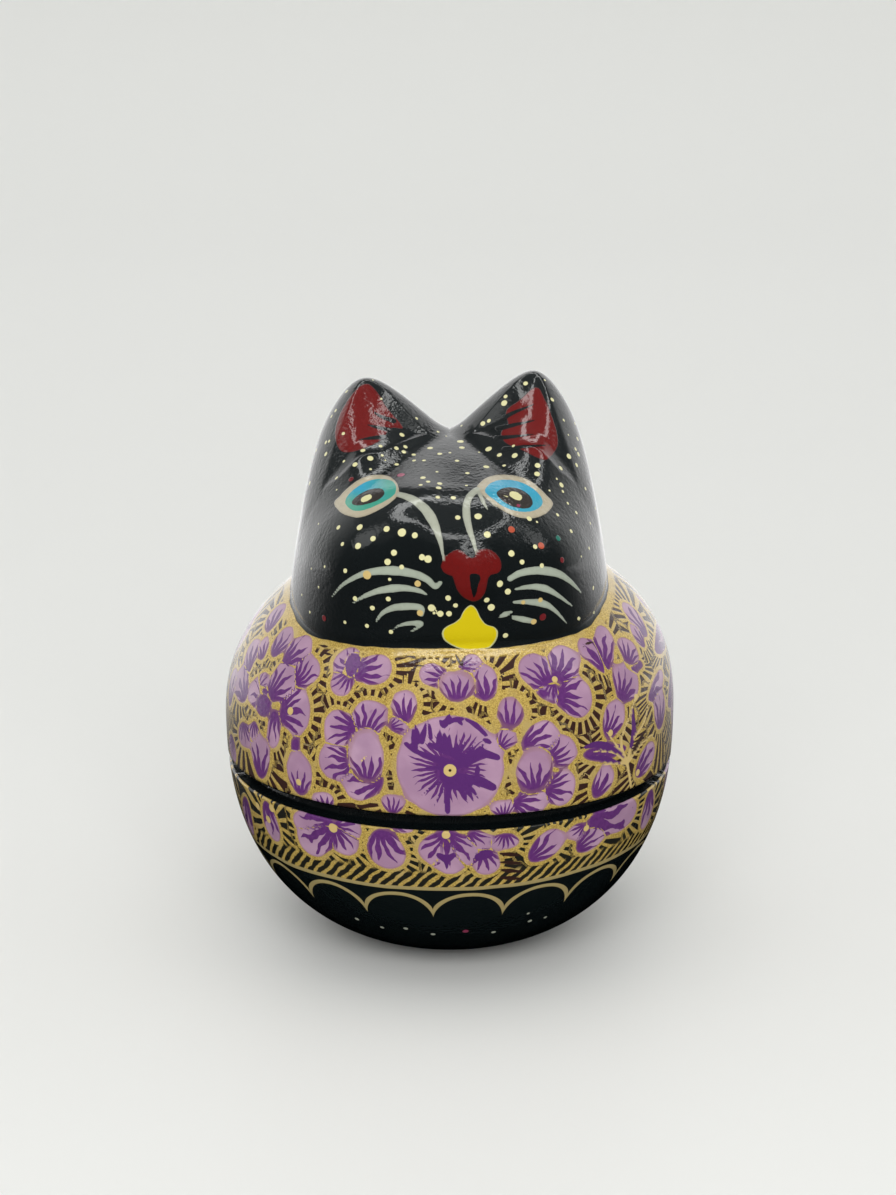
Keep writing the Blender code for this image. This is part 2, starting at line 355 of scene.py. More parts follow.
    def ear_hollow(self, x: Array, y: Array) -> Array:
        """How deep the ears' hollows are sunk.

        Args:
            x: Place across.
            y: Place to the back.

        Returns:
            The depth of the hollow there.
        """
        size = self.ear_hollow_size
        corners = [
            (self.ear_spread + size * across, self.ear_line + size * back)
            for across, back in self.ear_hollow_corners
        ]
        inside: Array | float = size
        for (x0, y0), (x1, y1) in zip(corners, corners[1:] + corners[:1]):
            length = math.hypot(x1 - x0, y1 - y0)
            from_edge = ((x1 - x0) * (y - y0) - (y1 - y0) * (np.abs(x) - x0)) / length
            inside = -self.smooth_max(-inside, -from_edge, self.ear_hollow_rounding * size)
        steepness = self.ear_hollow_slope / self.ear_hollow_depth
        return self.ear_hollow_depth * (1.0 - np.exp(-np.maximum(inside, 0.0) * steepness))

    def face_relief(self, x: Array, y: Array, z: Array) -> Array:
        """How far the nose, muzzle and cheeks stand out of the face.

        Args:
            x: Place across.
            y: Place to the back.
            z: Height.

        Returns:
            The relief there.
        """
        relief = np.zeros_like(x)
        for across, rise, radius, proud in (
            self.nose,
            self.muzzle,
            self.bridge,
            self.right_cheek,
            self.left_cheek,
        ):
            reach = ((x - across) ** 2 + (z - self.neck_height - rise) ** 2) / radius**2
            relief = relief + proud * np.clip(1.0 - reach, 0.0, 1.0) ** 2
        span = self.face_fade_to - self.face_fade_from
        forward = (-y / self.head_front_depth - self.face_fade_from) / span
        return relief * np.clip(forward, 0.0, 1.0)

    def head_depth(self, x: Array, y: Array, z: Array) -> Array:
        """Depth below the painted skin of the head alone.

        Args:
            x: Place across.
            y: Place to the back.
            z: Height.

        Returns:
            The depth, negative inside.
        """
        top = self.smooth_max(self.crown_at(x, y), self.ear_at(x, y), self.ear_blend)
        top = top - self.ear_hollow(x, y)
        from_ears = np.clip(2.0 * np.abs(y - self.ear_line) / self.head_front_depth, 0.0, 1.0)
        at_ears = self.brow_rounding_at_ears
        rounding = self.brow_rounding * (at_ears + (1.0 - at_ears) * from_ears)
        side = self.head_side_depth(x, y, z, 0.0)
        head = self.smooth_max(side, self.crown_ease * (z - top), rounding)
        return head - self.face_relief(x, y, z)

    def above_neck_line(self, points: Array) -> Array:
        """How far above the painted neck line places are.

        Args:
            points: Places in metres.

        Returns:
            Millimetres, negative on the shoulders.
        """
        x, y, z = points.T
        crease = (self.body_depth(x, y, z, 0.0) - self.head_depth(x, y, z)) * MM
        azimuth = np.degrees(np.arctan2(y, x))
        turns, heights = zip(*self.neck_line)
        above = z * MM - np.interp(azimuth, turns, heights)
        aside = np.clip((np.abs((azimuth + 270.0) % 360.0 - 180.0) - 36.0) / 14.0, 0.0, 1.0)
        return np.clip(above * (1.0 - aside) + crease * aside, -6.0, 6.0)

    def outer_depth(self, x: Array, y: Array, z: Array) -> Array:
        """Depth below the painted skin of the whole box.

        Args:
            x: Place across.
            y: Place to the back.
            z: Height.

        Returns:
            The depth, negative inside.
        """
        shoulders = self.body_depth(x, y, z, 0.0)
        tuck = np.clip(1.0 - np.abs(shoulders) / self.neck_tuck_reach, 0.0, 1.0) ** 2
        head = self.head_depth(x, y, z) + self.neck_tuck * tuck
        return -self.smooth_max(-shoulders, -head, self.neck_blend)

    def inner_depth(self, x: Array, y: Array, z: Array) -> Array:
        """Depth below the lid's plain lining, which leaves the ears solid.

        Args:
            x: Place across.
            y: Place to the back.
            z: Height.

        Returns:
            The depth, negative inside.
        """
        top = z - self.crown_at(x, y) + self.head_wall
        head = self.smooth_max(
            self.head_side_depth(x, y, z, self.head_wall), top, self.brow_rounding
        )
        return -self.smooth_max(-self.body_depth(x, y, z, self.lid_wall), -head, self.head_wall)

    def ray_points(self, inner: bool, angles: Array, shares: Array) -> Array:
        """Finds the skin on rays that fan out from the axis.

        Args:
            inner: True for the lining, False for the painted skin.
            angles: Angles about the axis.
            shares: 0 for a level ray at the lid's edge, 1 for one straight up.

        Returns:
            Points with a row for each share and a column for each angle.
        """
        field = self.inner_depth if inner else self.outer_depth
        share, angle = np.meshgrid(shares, angles, indexing="ij")
        start = self.lid_edge_height(angle)
        top_start = self.neck_height + self.ray_top_share * self.crown_rise
        climb = np.sin(0.5 * math.pi * np.clip(share / self.ray_climb_share, 0.0, 1.0))
        origin = start + (top_start - start) * climb
        tilt = 0.5 * math.pi * share**self.ray_tilt_power
        level, upright = np.cos(tilt), np.sin(tilt)
        farthest, steps = self.belly_radius + self.crown_rise, 64

        def point(reach: Array) -> tuple[Array, Array, Array]:
            """The place at a reach along each ray."""
            flat = reach * level
            return flat * np.cos(angle), flat * np.sin(angle), origin + reach * upright

        far = np.full_like(angle, farthest)
        for _ in range(steps):
            far = np.where(field(*point(far)) > 0.0, far - farthest / steps, far)
        near, out = far, far + farthest / steps
        for _ in range(20):
            middle = 0.5 * (near + out)
            inside = field(*point(middle)) < 0.0
            near, out = np.where(inside, middle, near), np.where(inside, out, middle)
        return np.stack(point(near), axis=-1)

    def even_shares(self, inner: bool, rows: int) -> Array:
        """Shares that lie evenly along the skin.

        Args:
            inner: True for the lining, False for the painted skin.
            rows: How many rows are wanted below the pole.

        Returns:
            The shares, from the lid's edge upwards.
        """
        shares = np.linspace(0.0, 1.0, 160)
        angles = np.linspace(0.0, 2.0 * math.pi, 24, endpoint=False)
        points = self.ray_points(inner, angles, shares)
        steps = np.linalg.norm(np.diff(points, axis=0), axis=-1).mean(axis=1)
        lengths = np.concatenate([[0.0], np.cumsum(steps)])
        return np.interp(np.linspace(0.0, lengths[-1], rows + 1), lengths, shares)[:-1]

    def normal_at(self, points: Array) -> Array:
        """Outward direction of the painted skin.

        Args:
            points: Places on or near the skin.

        Returns:
            A unit vector for each place.
        """
        nudge = 1e-4
        slopes = []
        for axis in range(3):
            step = np.zeros(3)
            step[axis] = nudge
            ahead = self.outer_depth(*np.moveaxis(points + step, -1, 0))
            behind = self.outer_depth(*np.moveaxis(points - step, -1, 0))
            slopes.append(ahead - behind)
        normal = np.stack(slopes, axis=-1)
        return normal / np.maximum(np.linalg.norm(normal, axis=-1, keepdims=True), 1e-12)

    def skin_at(self, azimuth: float, height: float) -> Array:
        """A point of the painted skin at an angle about the axis and a height.

        Args:
            azimuth: Degrees about the axis from +X.
            height: Height in metres.

        Returns:
            The point.
        """
        across, back = math.cos(math.radians(azimuth)), math.sin(math.radians(azimuth))
        near, far = 0.001, self.belly_radius + 0.005
        for _ in range(24):
            middle = np.array(0.5 * (near + far))
            inside = self.outer_depth(middle * across, middle * back, np.array(height)) < 0.0
            near, far = (float(middle), far) if inside else (near, float(middle))
        return np.array([near * across, near * back, height])


@dataclass(frozen=True)
class Sight:
    """The viewing place, which the camera takes and the front's painting is laid out from."""

    place: tuple[float, float, float] = (-0.00033, -0.5000, 0.2132)
    pitch: float = 16.09
    focal: float = 2609.0
    width: float = 896.0
    height: float = 1195.0

    @property
    def forward(self) -> Array:
        """The way it looks."""
        pitch = math.radians(self.pitch)
        return np.array([0.0, math.cos(pitch), -math.sin(pitch)])

    @property
    def upward(self) -> Array:
        """The way that is up in the picture."""
        pitch = math.radians(self.pitch)
        return np.array([0.0, math.sin(pitch), math.cos(pitch)])

    def project(self, points: Array) -> Array:
        """Where places are seen in the picture.

        Args:
            points: Places in metres.

        Returns:
            Their picture places, from the top left.
        """
        offset = points - np.array(self.place)
        away = offset @ self.forward
        across = 0.5 * self.width + self.focal * offset[..., 0] / away
        down = 0.5 * self.height - self.focal * (offset @ self.upward) / away
        return np.stack([across, down], axis=-1)

    def meet(self, form: CatForm, pixels: Sequence[Pixel]) -> Array:
        """Where lines of sight meet the painted skin.

        Args:
            form: The form of the box.
            pixels: Picture places.

        Returns:
            A point of the skin for each, or the skin's nearest point where one passes it by.
        """
        picture = np.asarray(pixels, dtype=float)
        right = (picture[:, :1] - 0.5 * self.width) * np.array([[1.0, 0.0, 0.0]])
        up = (0.5 * self.height - picture[:, 1:]) * self.upward
        ray = self.focal * self.forward + right + up
        ray = ray / np.linalg.norm(ray, axis=1, keepdims=True)
        reach = np.linspace(0.42, 0.62, 500)
        path = np.array(self.place) + reach[None, :, None] * ray[:, None, :]
        depth = form.outer_depth(*np.moveaxis(path, -1, 0))
        hit = np.where((depth < 0.0).any(axis=1), (depth < 0.0).argmax(axis=1), depth.argmin(axis=1))
        points = path[np.arange(len(picture)), hit]
        for _ in range(16):
            left = 0.4 * form.outer_depth(*points.T)
            points = points - form.normal_at(points) * left[:, None]
        return points


@dataclass(frozen=True)
class Petal:
    """One painted petal, bud or disc: an egg shape on the skin with its brush comb and outline."""

    base: Array
    tip: Array
    normal: Array
    half_width: float
    reach: float = 0.62
    wash: float = 0.0
    rim: float = 0.52
    on_top: bool = False
    centred: bool = False
    teeth: float = 22.0
    flare: float = 0.16

    def fields(self, points: Array) -> tuple[Array, Array, Array, Array, Array]:
        """Reads the petal's own measures at each place.

        Args:
            points: Places in millimetres.

        Returns:
            Distance inside its outline in millimetres, its comb's two coordinates, and its two
            coordinates about its middle.
        """
        base, tip = self.base * MM, self.tip * MM
        middle = 0.5 * (base + tip)
        along = tip - base
        along = along - self.normal * float(along @ self.normal)
        half_length = 0.5 * float(np.linalg.norm(along))
        along = along / (2.0 * half_length)
        across = np.cross(self.normal, along)
        deepest = max(half_length, self.half_width)
        offset = points - middle
        u = offset @ along / half_length
        swell = 1.0 + self.flare * np.clip(u, -1.0, 1.0)
        v = offset @ across / (self.half_width * swell)
        n = offset @ self.normal / deepest
        unit = np.sqrt(u**2 + v**2 + n**2)
        steep = np.sqrt(
            (u / half_length) ** 2 + (v / (self.half_width * swell)) ** 2 + (n / deepest) ** 2
        )
        inside = unit * (1.0 - unit) / np.maximum(steep, 1e-6)
        if self.centred:
            return inside, u, v, u, v
        start = 0.16
        comb_u = (0.5 * (u + 1.0) + start) / (1.0 + start)
        comb_v = 0.5 * v * self.half_width / half_length / (1.0 + start)
        return inside, comb_u, comb_v, u, v


@dataclass(frozen=True)
class Dot:
    """A dot of paint set down with the end of the brush."""

    place: Array
    radius: float
    colour: Colour


class Garden:
    """All the painted petals of one piece, turned into smooth fields on its skin."""

    def __init__(self, form: CatForm, sight: Sight) -> None:
        """Starts with no petals, on the form of the box and seen from the viewing place."""
        self.form = form
        self.sight = sight
        self.petals: list[Petal] = []
        self.dots: list[Dot] = []

    def seen(self, base: Pixel, tip: Pixel, half_width: float, **finish: float | bool) -> None:
        """Adds a petal where it is seen in the picture.

        Args:
            base: Picture place where its comb starts.
            tip: Picture place of its far end.
            half_width: Half its width in millimetres.
            **finish: Its comb, wash, rim and order.
        """
        start, end = self.sight.meet(self.form, (base, tip))
        normal = self.form.normal_at((0.5 * (start + end))[None])[0]
        line = 0.85 * float(finish.get("rim", 0.52))
        along = (end - start) / float(np.linalg.norm(end - start)) * line / MM
        self.petals.append(Petal(start - along, end + along, normal, half_width + line, **finish))

    def spray(self, middle: Pixel, tips: Iterable[tuple[float, float, float]], **finish: float) -> None:
        """Adds petals that spring from one point.

        Args:
            middle: Picture place they spring from.
            tips: Picture place of each tip, with half its width in millimetres.
            **finish: Their comb, wash and rim.
        """
        for x, y, half_width in tips:
            self.seen(middle, (x, y), half_width, **finish)

    def seen_dots(self, dots: Iterable[tuple[float, float, float]], colour: Paint) -> None:
        """Adds dots where they are seen in the picture.

        Args:
            dots: Picture place and radius in millimetres of each.
            colour: Their paint.
        """
        listed = list(dots)
        places = self.sight.meet(self.form, [(x, y) for x, y, _ in listed])
        for place, (_, _, radius) in zip(places, listed):
            self.dots.append(Dot(place, radius, linear(colour.value)))

    def rosette(self, azimuth: float, height: float, size: float, count: int, turn: float) -> None:
        """Adds a flower on a side that the picture doesn't show.

        Args:
            azimuth: Degrees about the axis.
            height: Height of its centre in metres.
            size: Length of a petal in millimetres.
            count: How many petals, or 1 for a bud.
            turn: Degrees its first petal is turned from the horizontal.
        """
        centre = self.form.skin_at(azimuth, height)
        normal = self.form.normal_at(centre[None])[0]
        sideways = np.cross([0.0, 0.0, 1.0], normal)
        sideways = sideways / np.linalg.norm(sideways)
        upward = np.cross(normal, sideways)
        for k in range(count):
            angle = math.radians(turn + 360.0 * k / max(count, 1))
            way = math.cos(angle) * sideways + math.sin(angle) * upward
            tip = centre + way * size / MM
            half_width = size * (0.47 if count > 3 else 0.52)
            at = self.form.normal_at((0.5 * (centre + tip))[None])[0]
            start = centre if count > 1 else centre - way * 0.45 * size / MM
            self.petals.append(Petal(start, tip, at, half_width, reach=0.60, rim=0.55))
        if count > 3:
            self.dots.append(Dot(centre, 0.75, linear(Paint.CREAM.value)))

    def fields(self, points: Array) -> dict[str, Array]:
        """Turns the petals into smooth fields.

        Args:
            points: Places in millimetres.

        Returns:
            The fields by name: how far inside the nearest petal, how far from the line between two
            petals, the comb's and the outline's own coordinates, and each petal's tone.
        """
        count = len(points)
        best = np.full(count, -90.0)
        second = np.full(count, -95.0)
        comb = np.zeros((count, 3))
        around = np.zeros((count, 3))
        beyond = np.zeros((count, 3))
        first = np.full(count, -1)
        runner = np.full(count, -1)
        tone = np.zeros((count, 3))
        rim = np.ones(count)
        for number, petal in enumerate(self.petals):
            inside, comb_u, comb_v, u, v = petal.fields(points)
            if petal.on_top:
                best = np.minimum(best, -inside)
                second = np.minimum(second, -inside)
            wins = inside > best
            follows = ~wins & (inside > second)
            second = np.where(wins, best, np.maximum(second, inside))
            best = np.where(wins, inside, best)
            long = 0.5 * float(np.linalg.norm(petal.tip - petal.base)) * MM
            ticks = round(math.pi * (long + petal.half_width + 2.4) / 1.5)
            seed = (number * GOLDEN_SHARE) % 1.0
            comb[wins] = np.stack([comb_u, comb_v, np.full(count, petal.teeth)], axis=1)[wins]
            here = np.stack([u, v, np.full(count, float(ticks))], axis=1)
            beyond[wins], runner[wins] = around[wins], first[wins]
            beyond[follows], runner[follows] = here[follows], number
            around[wins], first[wins] = here[wins], number
            tone[wins] = (seed, petal.wash, petal.reach)
            rim[wins] = petal.rim
        swap = (runner >= 0) & (runner < first) & (best < 0.0)
        around[swap] = beyond[swap]
        joint = 2.6
        gap = best - second
        overlap = np.clip(joint - gap, 0.0, joint) ** 2 / (4.0 * joint)
        best = best + overlap * np.clip((best + 0.6) / 0.5, 0.0, 1.0)
        return {
            "petal_edge": best / rim,
            "petal_between": gap,
            "petal_comb": comb,
            "petal_around": around,
            "petal_tone": tone,
        }


def dealt(dots: Sequence[Dot]) -> list[list[Dot]]:
    """Deals dots into groups, each dot to the group whose nearest member is farthest off.

    Args:
        dots: The dots.

    Returns:
        The groups.
    """
    groups: list[list[Dot]] = [[] for _ in DOT_GROUPS]
    for dot in dots:
        room = [
            min((float(np.linalg.norm(dot.place - other.place)) for other in group), default=1.0)
            for group in groups
        ]
        groups[room.index(max(room))].append(dot)
    return groups


def dot_fields(points: Array, dots: Sequence[Dot]) -> dict[str, Array]:
    """Turns dots of paint into fields, so that near neighbours don't share one.

    Args:
        points: Places in millimetres.
        dots: The dots.

    Returns:
        For each group the offset from its nearest dot, the distance to it, and its colour with its radius.
    """
    fields: dict[str, Array] = {}
    for suffix, group in zip(DOT_GROUPS, dealt(dots)):
        nearest = np.full(len(points), 90.0)
        offset = np.full((len(points), 3), 50.0)
        paint = np.zeros((len(points), 4))
        for dot in group:
            away = points - dot.place * MM
            distance = np.linalg.norm(away, axis=1) - 0.6 * dot.radius
            closer = distance < nearest
            nearest = np.where(closer, distance, nearest)
            offset[closer] = away[closer]
            paint[closer] = (*dot.colour, dot.radius)
        for name, values in (("offset", offset), ("near", nearest), ("paint", paint)):
            fields[f"dot_{name}_{suffix}"] = values
    return fields


def rounded(points: Sequence[Pixel], closed: bool, steps: int = 6) -> Array:
    """Draws a smooth curve through named points.

    Args:
        points: The points.
        closed: Whether it comes back to its start.
        steps: Pieces between two points.

    Returns:
        The curve's points.
    """
    p = np.asarray(points, dtype=float)
    if closed:
        before, after, beyond = np.roll(p, 1, 0), np.roll(p, -1, 0), np.roll(p, -2, 0)
        spans = list(zip(before, p, after, beyond))
    else:
        q = np.vstack([2.0 * p[0] - p[1], p, 2.0 * p[-1] - p[-2]])
        spans = [(q[i], q[i + 1], q[i + 2], q[i + 3]) for i in range(len(p) - 1)]
    curve = []
    for a, b, c, d in spans:
        for t in np.arange(steps) / steps:
            curve.append(
                0.5
                * (
                    2.0 * b
                    + (c - a) * t
                    + (2.0 * a - 5.0 * b + 4.0 * c - d) * t**2
                    + (3.0 * b - 3.0 * c + d - a) * t**3
                )
            )
    if not closed:
        curve.append(p[-1])
    return np.array(curve)


@dataclass(frozen=True)
class Print:
    """An enlarged part of the picture, on which marks were measured."""

    corner: Pixel
    scale: float

    def at(self, *places: Pixel) -> tuple[Pixel, ...]:
        """Turns places on the print into picture places."""
        left, top = self.corner
        return tuple((left + x / self.scale, top + y / self.scale) for x, y in places)

    def thick(self, *widths: float) -> tuple[float, ...]:
        """Turns widths on the print into picture widths."""
        return tuple(width / self.scale for width in widths)


MUZZLE_PRINT = Print((330.0, 470.0), 6.272)
BROW_PRINT = Print((320.0, 440.0), 6.031)
HEAD_PRINT = Print((233.0, 327.0), 3.733)
PANSY_PRINT = Print((392.0, 690.0), 11.526)
BODY_PRINT = Print((210.0, 607.0), 3.2)


@dataclass(frozen=True)
class Patch:
    """A filled shape of the face, given by the outline that is seen in the picture."""

    outline: tuple[Pixel, ...]
    colour: Paint
    layer: int

    def inside(self, seen: Array) -> Array:
        """Distance inside its outline.

        Args:
            seen: Picture places.

        Returns:
            The distance in picture units, negative outside.
        """
        curve = rounded(self.outline, closed=True)
        nearest = np.full(len(seen), 1e9)
        odd = np.zeros(len(seen), dtype=bool)
        for a, b in zip(curve, np.roll(curve, -1, 0)):
            edge, away = b - a, seen - a
            along = np.clip(away @ edge / max(float(edge @ edge), 1e-9), 0.0, 1.0)
            nearest = np.minimum(nearest, np.hypot(*(away - along[:, None] * edge).T))
            crosses = (a[1] > seen[:, 1]) != (b[1] > seen[:, 1])
            rise = edge[1] if abs(edge[1]) > 1e-9 else 1e-9
            odd ^= crosses & (seen[:, 0] < a[0] + (seen[:, 1] - a[1]) * edge[0] / rise)
        return np.where(odd, nearest, -nearest)


@dataclass(frozen=True)
class Stroke:
    """One brush stroke of the face, thick in the middle and thin at its ends."""

    path: tuple[Pixel, ...]
    widths: tuple[float, float, float]
    colour: Paint
    layer: int

    def inside(self, seen: Array) -> Array:
        """Distance inside the stroke's edge.

        Args:
            seen: Picture places.

        Returns:
            The distance in picture units, negative outside.
        """
        curve = rounded(self.path, closed=False)
        share = np.linspace(0.0, 1.0, len(curve))
        half = 0.5 * np.interp(share, [0.0, 0.5, 1.0], self.widths)
        best = np.full(len(seen), -1e9)
        for a, b, wa, wb in zip(curve, curve[1:], half, half[1:]):
            edge, away = b - a, seen - a
            along = np.clip(away @ edge / max(float(edge @ edge), 1e-9), 0.0, 1.0)
            distance = np.hypot(*(away - along[:, None] * edge).T)
            best = np.maximum(best, wa + (wb - wa) * along - distance)
        return best


def paint_marks(
    layer: Array, marks: Iterable[Patch | Stroke], seen: Array, rows: Array, scale: float
) -> None:
    """Lays marks into one layer of paint, each over the ones before where it reaches deeper.

    Args:
        layer: Colour and distance inside, for each point; it is filled in.
        marks: The marks.
        seen: Picture places of the points that face the viewing place.
        rows: Which points those are.
        scale: Picture units in a millimetre.
    """
    for mark in marks:
        inside = mark.inside(seen) / scale
        better = inside > layer[rows, 3]
        layer[rows[better], :3] = linear(mark.colour.value)
        layer[rows[better], 3] = inside[better]


@dataclass
class CatFace:
    """The painted face: eyes, nose, mouth, whiskers, ear linings and dots."""

    form: CatForm
    sight: Sight
    scale: float = 5.1
    layers: int = 4

    def eyes(self) -> list[Patch | Stroke]:
        """The two eyes.

        Returns:
            Their marks.
        """
        at = MUZZLE_PRINT.at
        left = at((25, 208), (60, 165), (130, 97), (210, 47), (290, 30), (365, 38), (410, 70), (430, 112))
        left += at((428, 148), (400, 187), (330, 237), (250, 277), (180, 298), (110, 286), (60, 260))
        right = at((922, 112), (948, 72), (1000, 40), (1080, 29), (1170, 38), (1250, 65), (1310, 110))
        right += at((1365, 165), (1398, 205), (1385, 242), (1350, 275), (1290, 299), (1220, 303))
        right += at((1150, 287), (1080, 252), (1010, 205), (960, 158))
        left_iris = at((95, 200), (120, 150), (180, 100), (250, 65), (320, 56), (385, 67), (412, 97))
        left_iris += at((413, 132), (395, 162), (340, 197), (260, 235), (190, 256), (130, 247))
        right_iris = at((972, 135), (1000, 88), (1060, 64), (1140, 63), (1220, 86), (1290, 130), (1330, 180))
        right_iris += at((1328, 220), (1290, 250), (1230, 263), (1150, 253), (1080, 224), (1025, 183))
        left_pupil = at((135, 207), (160, 170), (215, 135), (275, 116), (322, 118), (342, 140), (330, 168))
        left_pupil += at((285, 196), (220, 216), (165, 222))
        right_pupil = at((1045, 150), (1070, 120), (1130, 108), (1200, 124), (1255, 164), (1272, 208))
        right_pupil += at((1250, 237), (1200, 241), (1130, 224), (1078, 190))
        glint = MUZZLE_PRINT.thick(30, 37, 30)
        return [
            Patch(left, Paint.WHITE, 0),
            Patch(right, Paint.WHITE, 0),
            Patch(left_iris, Paint.IRIS, 1),
            Patch(right_iris, Paint.IRIS, 1),
            Patch(left_pupil, Paint.PUPIL, 2),
            Patch(right_pupil, Paint.PUPIL, 2),
            Stroke(at((208, 187), (228, 177), (248, 168)), glint, Paint.CREAM, 3),
            Stroke(at((1144, 152), (1165, 161), (1186, 172)), MUZZLE_PRINT.thick(38, 46, 38), Paint.CREAM, 3),
            Stroke(at((1088, 160), (1104, 164), (1118, 168)), (0.8, 1.4, 0.8), Paint.CREAM, 3),
            Stroke(at((1180, 222), (1184, 224)), (3.4, 3.4, 3.4), Paint.PINK, 3),
        ]

    def muzzle(self) -> list[Patch | Stroke]:
        """The lines down the nose, the nose, the mouth and the whiskers.

        Returns:
            Their marks.
        """
        at, thick = MUZZLE_PRINT.at, MUZZLE_PRINT.thick
        nose = at((695, 600), (712, 560), (745, 525), (790, 501), (830, 509), (862, 537), (887, 551))
        nose += at((907, 545), (918, 518), (947, 497), (1000, 499), (1045, 528), (1071, 572), (1073, 620))
        nose += at((1050, 647), (1012, 657), (991, 682), (984, 725), (970, 772), (945, 806), (908, 823))
        nose += at((868, 815), (828, 790), (795, 745), (779, 700), (768, 668), (725, 650), (702, 625))
        slit = at((876, 660), (902, 650), (932, 655), (944, 682), (930, 722), (915, 780), (901, 802))
        slit += at((890, 770), (880, 715))
        mouth = at((885, 846), (917, 870), (942, 922), (977, 966), (1032, 986), (1052, 1012), (1049, 1052))
        mouth += at((1026, 1092), (990, 1118), (900, 1128), (820, 1122), (757, 1096), (712, 1061))
        mouth += at((703, 1015), (729, 983), (780, 958), (815, 928), (843, 876))
        marks: list[Patch | Stroke] = [
            Stroke(at((422, 152), (480, 168), (545, 200), (610, 262), (650, 330), (678, 400), (697, 470),
                      (712, 562)), thick(30, 66, 10), Paint.BRUSH_WHITE, 0),
            Stroke(at((948, 112), (900, 140), (862, 195), (856, 280), (876, 375), (900, 450), (916, 515)),
                   thick(34, 50, 16), Paint.BRUSH_WHITE, 0),
            Stroke(at((940, 150), (960, 195), (988, 250)), thick(24, 26, 6), Paint.BRUSH_WHITE, 0),
            Stroke(at((985, 165), (1010, 200), (1050, 245)), thick(10, 12, 4), Paint.BRUSH_WHITE, 0),
            Patch(nose, Paint.RED, 0),
            Patch(slit, Paint.BLACK, 1),
            Patch(mouth, Paint.PALE_EDGE, 0),
            Patch(tuple((470.8 + 0.945 * (x - 470.8), 630.5 + 0.955 * (y - 630.5)) for x, y in mouth),
                  Paint.YELLOW, 1),
        ]
        whiskers = (
            (((15, 792), (80, 720), (180, 662), (280, 636), (400, 632), (520, 650), (605, 683), (658, 730),
              (692, 708)), (10, 58, 26)),
            (((145, 832), (230, 785), (330, 752), (450, 740), (550, 755), (602, 778)), (14, 50, 16)),
            (((290, 948), (330, 897), (400, 864), (500, 856), (572, 866), (574, 905)), (14, 46, 30)),
            (((383, 1012), (430, 978), (500, 962), (572, 962), (555, 985), (510, 1012)), (8, 32, 12)),
            (((1128, 682), (1200, 645), (1320, 630), (1430, 650), (1510, 702), (1578, 772)), (34, 56, 8)),
            (((1163, 746), (1250, 733), (1340, 740), (1420, 780), (1518, 852)), (16, 46, 10)),
            (((1152, 830), (1240, 827), (1330, 837), (1400, 872), (1487, 962)), (18, 48, 8)),
            (((1060, 922), (1100, 905), (1142, 888)), (12, 34, 12)),
            (((1150, 925), (1210, 937), (1282, 950)), (26, 38, 30)),
        )
        marks += [Stroke(at(*path), thick(*widths), Paint.WHISKER, 0) for path, widths in whiskers]
        return marks

    @staticmethod
    def ears() -> list[Patch | Stroke]:
        """The red linings of the ears with their dark brush lines.

        Returns:
            Their marks.
        """
        return [
            Patch(((354, 392), (366, 383.5), (377, 392), (387, 408), (403, 427.5), (391, 428), (381, 440),
                   (367, 447), (351, 452), (340, 450), (335, 433.5), (341, 412)), Paint.RED, 0),
            Stroke(((371, 410), (380, 416), (394, 421)), (0.8, 3.2, 5.0), Paint.BLACK, 1),
            Stroke(((366, 424), (376, 427), (390, 430)), (0.8, 3.0, 4.4), Paint.BLACK, 1),
            Stroke(((358, 440), (368, 438.5), (384, 437)), (0.8, 2.8, 5.0), Paint.BLACK, 1),
            Patch(((536, 387), (545, 400), (552, 417), (557, 434), (557, 447), (547, 459.5), (536, 457),
                   (522, 450), (506, 443), (501, 433), (508, 424), (506, 411), (520, 400)), Paint.RED, 0),
            Stroke(((503, 418), (516, 411.5), (535, 404)), (5.0, 3.4, 0.8), Paint.BLACK, 1),
            Stroke(((498, 428.5), (516, 424.5), (536, 420)), (5.4, 3.6, 0.8), Paint.BLACK, 1),
            Stroke(((496, 438), (514, 436.5), (535, 434)), (5.0, 3.4, 0.8), Paint.BLACK, 1),
            Stroke(((504, 449), (526, 446.5), (550, 445)), (4.6, 3.2, 0.8), Paint.BLACK, 1),
        ]

    def marks(self) -> list[Patch | Stroke]:
        """All marks of the face in the order they are painted."""
        return self.eyes() + self.muzzle() + self.ears()

    def fields(self, points: Array, normals: Array) -> dict[str, Array]:
        """Turns the marks into fields, on the side that faces the viewing place.

        Args:
            points: Places in metres.
            normals: Outward directions there.

        Returns:
            For each layer the nearest mark's colour, with the distance inside it in millimetres.
        """
        seen = self.sight.project(points)
        facing = np.einsum("ij,ij->i", normals, np.array(self.sight.place) - points) > -0.02
        near = facing & (points[:, 2] > self.form.neck_height - 0.004) & (points[:, 1] < 0.004)
        rows = np.flatnonzero(near)
        result = {f"face_{k}": np.tile([0.0, 0.0, 0.0, -3.0], (len(points), 1)) for k in range(self.layers)}
        for k in range(self.layers):
            marks = [mark for mark in self.marks() if mark.layer == k]
            paint_marks(result[f"face_{k}"], marks, seen[rows], rows, self.scale)
        iris = result["face_1"]
        blue = np.array(linear(Paint.IRIS.value))
        green = np.array(linear(Paint.IRIS_GREEN.value))
        is_blue = np.abs(iris[rows, :3] - blue).sum(axis=1) < 1e-4
        across, down = seen[rows, 0], seen[rows, 1]
        low = np.clip((down - 489.0) / 12.0, 0.0, 1.0)
        inner = np.clip((across - 362.0) / 26.0, 0.0, 1.0)
        share = np.where(across < 440.0, np.maximum(low * 0.9, inner * 0.8), low * 0.12)[:, None]
        shaded = blue * (1.0 - share) + green * share
        iris[rows[is_blue], :3] = shaded[is_blue]
        return result

